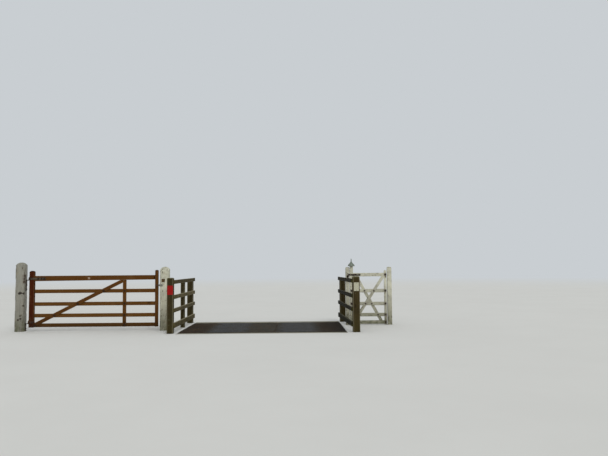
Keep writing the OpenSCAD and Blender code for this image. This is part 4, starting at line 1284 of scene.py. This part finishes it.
class BuildWalkersGate(bpy.types.Operator):
    """Build the white walkers' gate, its posts, straps and cap"""
    bl_idname = "cattlegrid.walkers_gate"
    bl_label = "Walkers' gate"

    def execute(self, context):
        paint, iron = finish_of("flaking_white_paint"), finish_of("white_painted_iron")
        rails = split_solids("wicket_rails")
        braces = ("wicket_front_brace", "wicket_back_brace")
        through = crossings(rails[1:4], braces)
        heel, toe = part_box("wicket_heel"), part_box("wicket_toe")
        ends = [np.array(((low.x + high.x) / 2, low.y, rail.middle[2])) for rail in rails
                for low, high in (heel, toe)]
        banded = []
        for strap in split_solids("wicket_straps"):
            low, high = strap.points.min(axis=0), strap.points.max(axis=0)
            # The straps are 6 mm thick.
            banded += [np.array((high[0] - reach, heel[0].y - 0.006, (low[2] + high[2]) / 2))
                       for reach in (0.03, 0.13)]
        # A stile bolt is left out where a strap covers its place.
        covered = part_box("wicket_straps")[1].x
        ends = [p for p in ends if all(np.linalg.norm(p - q) > 0.05 for q in banded)
                and not any(abs(p[2] - q[2]) < 0.03 and p[0] < covered for q in banded)]
        # Rust spreads a hand's breadth down from each stile bolt, half as far from the others.
        spots = [(p, 0.04, 0.11) for p in ends] + [(p, 0.026, 0.05) for p in through]
        spots += [(p, 0.032, 0.05) for p in banded]
        gate_wear = Wear(tone=0.18, rings=(0.9, 0.75, 0.55, 0.3), spacing=0.016, fine=0.016, rust=spots,
                         head=0.012)
        for part in ("wicket_heel", "wicket_toe", "wicket_rails", *braces):
            timber(part, "painted", paint, gate_wear)
        for post, tone in (("wicket_hanging_post", 0.26), ("wicket_slam_post", 0.14)):
            timber(post, "painted", paint,
                   Wear(radius=0.01, wave=0.002, gape=0.003, cut=0.01, cracks=1, tone=tone, head=0.01))
        for node in ("wicket_hooks", "wicket_straps"):
            eased(node, "forged", iron, width=0.0012, dent=0.0005)
        eased("wicket_cap", "pressed", finish_of("grey_painted_sheet"), width=0.0012)
        bolts("wicket_bolts", [(p, NEAR) for p in through + banded], "walkers_gate", scale=0.7)
        bolts("wicket_stile_bolts", both_faces(ends, heel[1].y), "walkers_gate", scale=0.95)
        return {"FINISHED"}


# The studio

def lay_floor(scene):
    """A wide floor at the level of the road, with a hole over the pit."""
    far = scene.grid_stage.reach
    low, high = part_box("pit_floor")
    rim = [(-far, -far), (far, -far), (far, far), (-far, far)]
    hole = [(low.x, low.y), (high.x, low.y), (high.x, high.y), (low.x, high.y)]
    mesh = bpy.data.meshes.new("studio_floor")
    mesh.from_pydata([(x, y, ROAD) for x, y in rim + hole], [],
                     [(i, (i + 1) % 4, 4 + (i + 1) % 4, 4 + i) for i in range(4)])
    mesh.materials.append(finish_of("studio_floor"))
    floor = bpy.data.objects.new("studio_floor", mesh)
    scene.collection.objects.link(floor)


def light_studio(scene):
    """A plain pale sky, the background colour that is seen, and a wide soft key from the front."""
    world = bpy.data.worlds.new("studio_light")
    scene.world = world
    world.use_nodes = True
    tree = world.node_tree
    tree.nodes.clear()
    path = add(tree, "LightPath", take=None).outputs
    seen = add(tree, "Math", (path["Is Camera Ray"], path["Is Transmission Ray"]), operation="MAXIMUM")
    seen = add(tree, "Math", (seen, path["Is Glossy Ray"]), operation="MAXIMUM")
    light = add(tree, "Background", ("#f4f7fb", 0.72))
    backdrop = add(tree, "Background", (hexa(scene.grid_stage.backdrop), 1.0))
    add(tree, "OutputWorld", (add(tree, "MixShader", (seen, light, backdrop)),), None)
    sun = bpy.data.lights.new("soft_key", "SUN")
    sun.energy = 0.95
    sun.angle = math.radians(28)
    sun.color = (1.0, 0.98, 0.95)
    key = bpy.data.objects.new("soft_key", sun)
    key.rotation_euler = (math.radians(41.5), 0.0, math.radians(20))
    scene.collection.objects.link(key)


def aim_camera(yaw, pitch, roll):
    """Camera rotation that looks along +Y, turned to +X by yaw, up by pitch, and rolled."""
    ahead = Vector((math.sin(yaw) * math.cos(pitch), math.cos(yaw) * math.cos(pitch), math.sin(pitch)))
    right = Vector((math.cos(yaw), -math.sin(yaw), 0.0))
    above = right.cross(ahead)
    turned = right * math.cos(roll) + above * math.sin(roll)
    above = above * math.cos(roll) - right * math.sin(roll)
    return Matrix((turned, above, -ahead)).transposed().to_euler()


def place_camera(scene):
    """The photograph's viewpoint, 1.46 m above the road; the road is 0.5 m above the pit's underside."""
    lens = bpy.data.cameras.new("photo_camera")
    lens.sensor_width = 36.0
    # A focal length of 600 pixels in a frame of 608
    lens.lens = 600.0 / 608.0 * lens.sensor_width
    lens.clip_end = 400.0
    camera = bpy.data.objects.new("photo_camera", lens)
    camera.location = (0.774, -14.776, 1.958)
    camera.rotation_euler = aim_camera(math.radians(0.766), math.radians(3.69), math.radians(-0.434))
    scene.collection.objects.link(camera)
    scene.camera = camera


class BuildStage(bpy.types.Operator):
    """Set up the studio floor, the light and the camera"""
    bl_idname = "cattlegrid.stage"
    bl_label = "Studio"

    def execute(self, context):
        lay_floor(context.scene)
        light_studio(context.scene)
        place_camera(context.scene)
        context.scene.view_settings.view_transform = "Standard"
        return {"FINISHED"}


OPERATORS = (BuildConcrete, BuildGrid, BuildWings, BuildGatePosts, BuildFieldGate, BuildWalkersGate,
             BuildStage)
SETTINGS = {"grid_timber": TimberSettings, "grid_steelwork": SteelworkSettings,
            "grid_fixings": FixingSettings, "grid_stage": StageSettings}


class CattleGridPanel(bpy.types.Panel):
    """Lists what can be built and the settings."""
    bl_idname = "VIEW3D_PT_cattle_grid"
    bl_label = "Cattle grid"
    bl_space_type = "VIEW_3D"
    bl_region_type = "UI"
    bl_category = "Cattle Grid"

    def draw(self, context):
        for operator in OPERATORS:
            self.layout.operator(operator.bl_idname)
        for group, kind in SETTINGS.items():
            box = self.layout.box()
            for setting in kind.__annotations__:
                box.prop(getattr(context.scene, group), setting)


def register():
    """Registers the classes and gives the scene their settings."""
    for kind in (*SETTINGS.values(), *OPERATORS, CattleGridPanel):
        bpy.utils.register_class(kind)
    for group, kind in SETTINGS.items():
        setattr(bpy.types.Scene, group, bpy.props.PointerProperty(type=kind))


def unregister():
    """Takes the settings and the classes away again."""
    for group in SETTINGS:
        delattr(bpy.types.Scene, group)
    for kind in reversed((*SETTINGS.values(), *OPERATORS, CattleGridPanel)):
        bpy.utils.unregister_class(kind)


def main():
    """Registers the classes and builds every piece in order."""
    register()
    for operator in OPERATORS:
        group, action = operator.bl_idname.split(".")
        getattr(getattr(bpy.ops, group), action)()


if __name__ == "__main__":
    main()
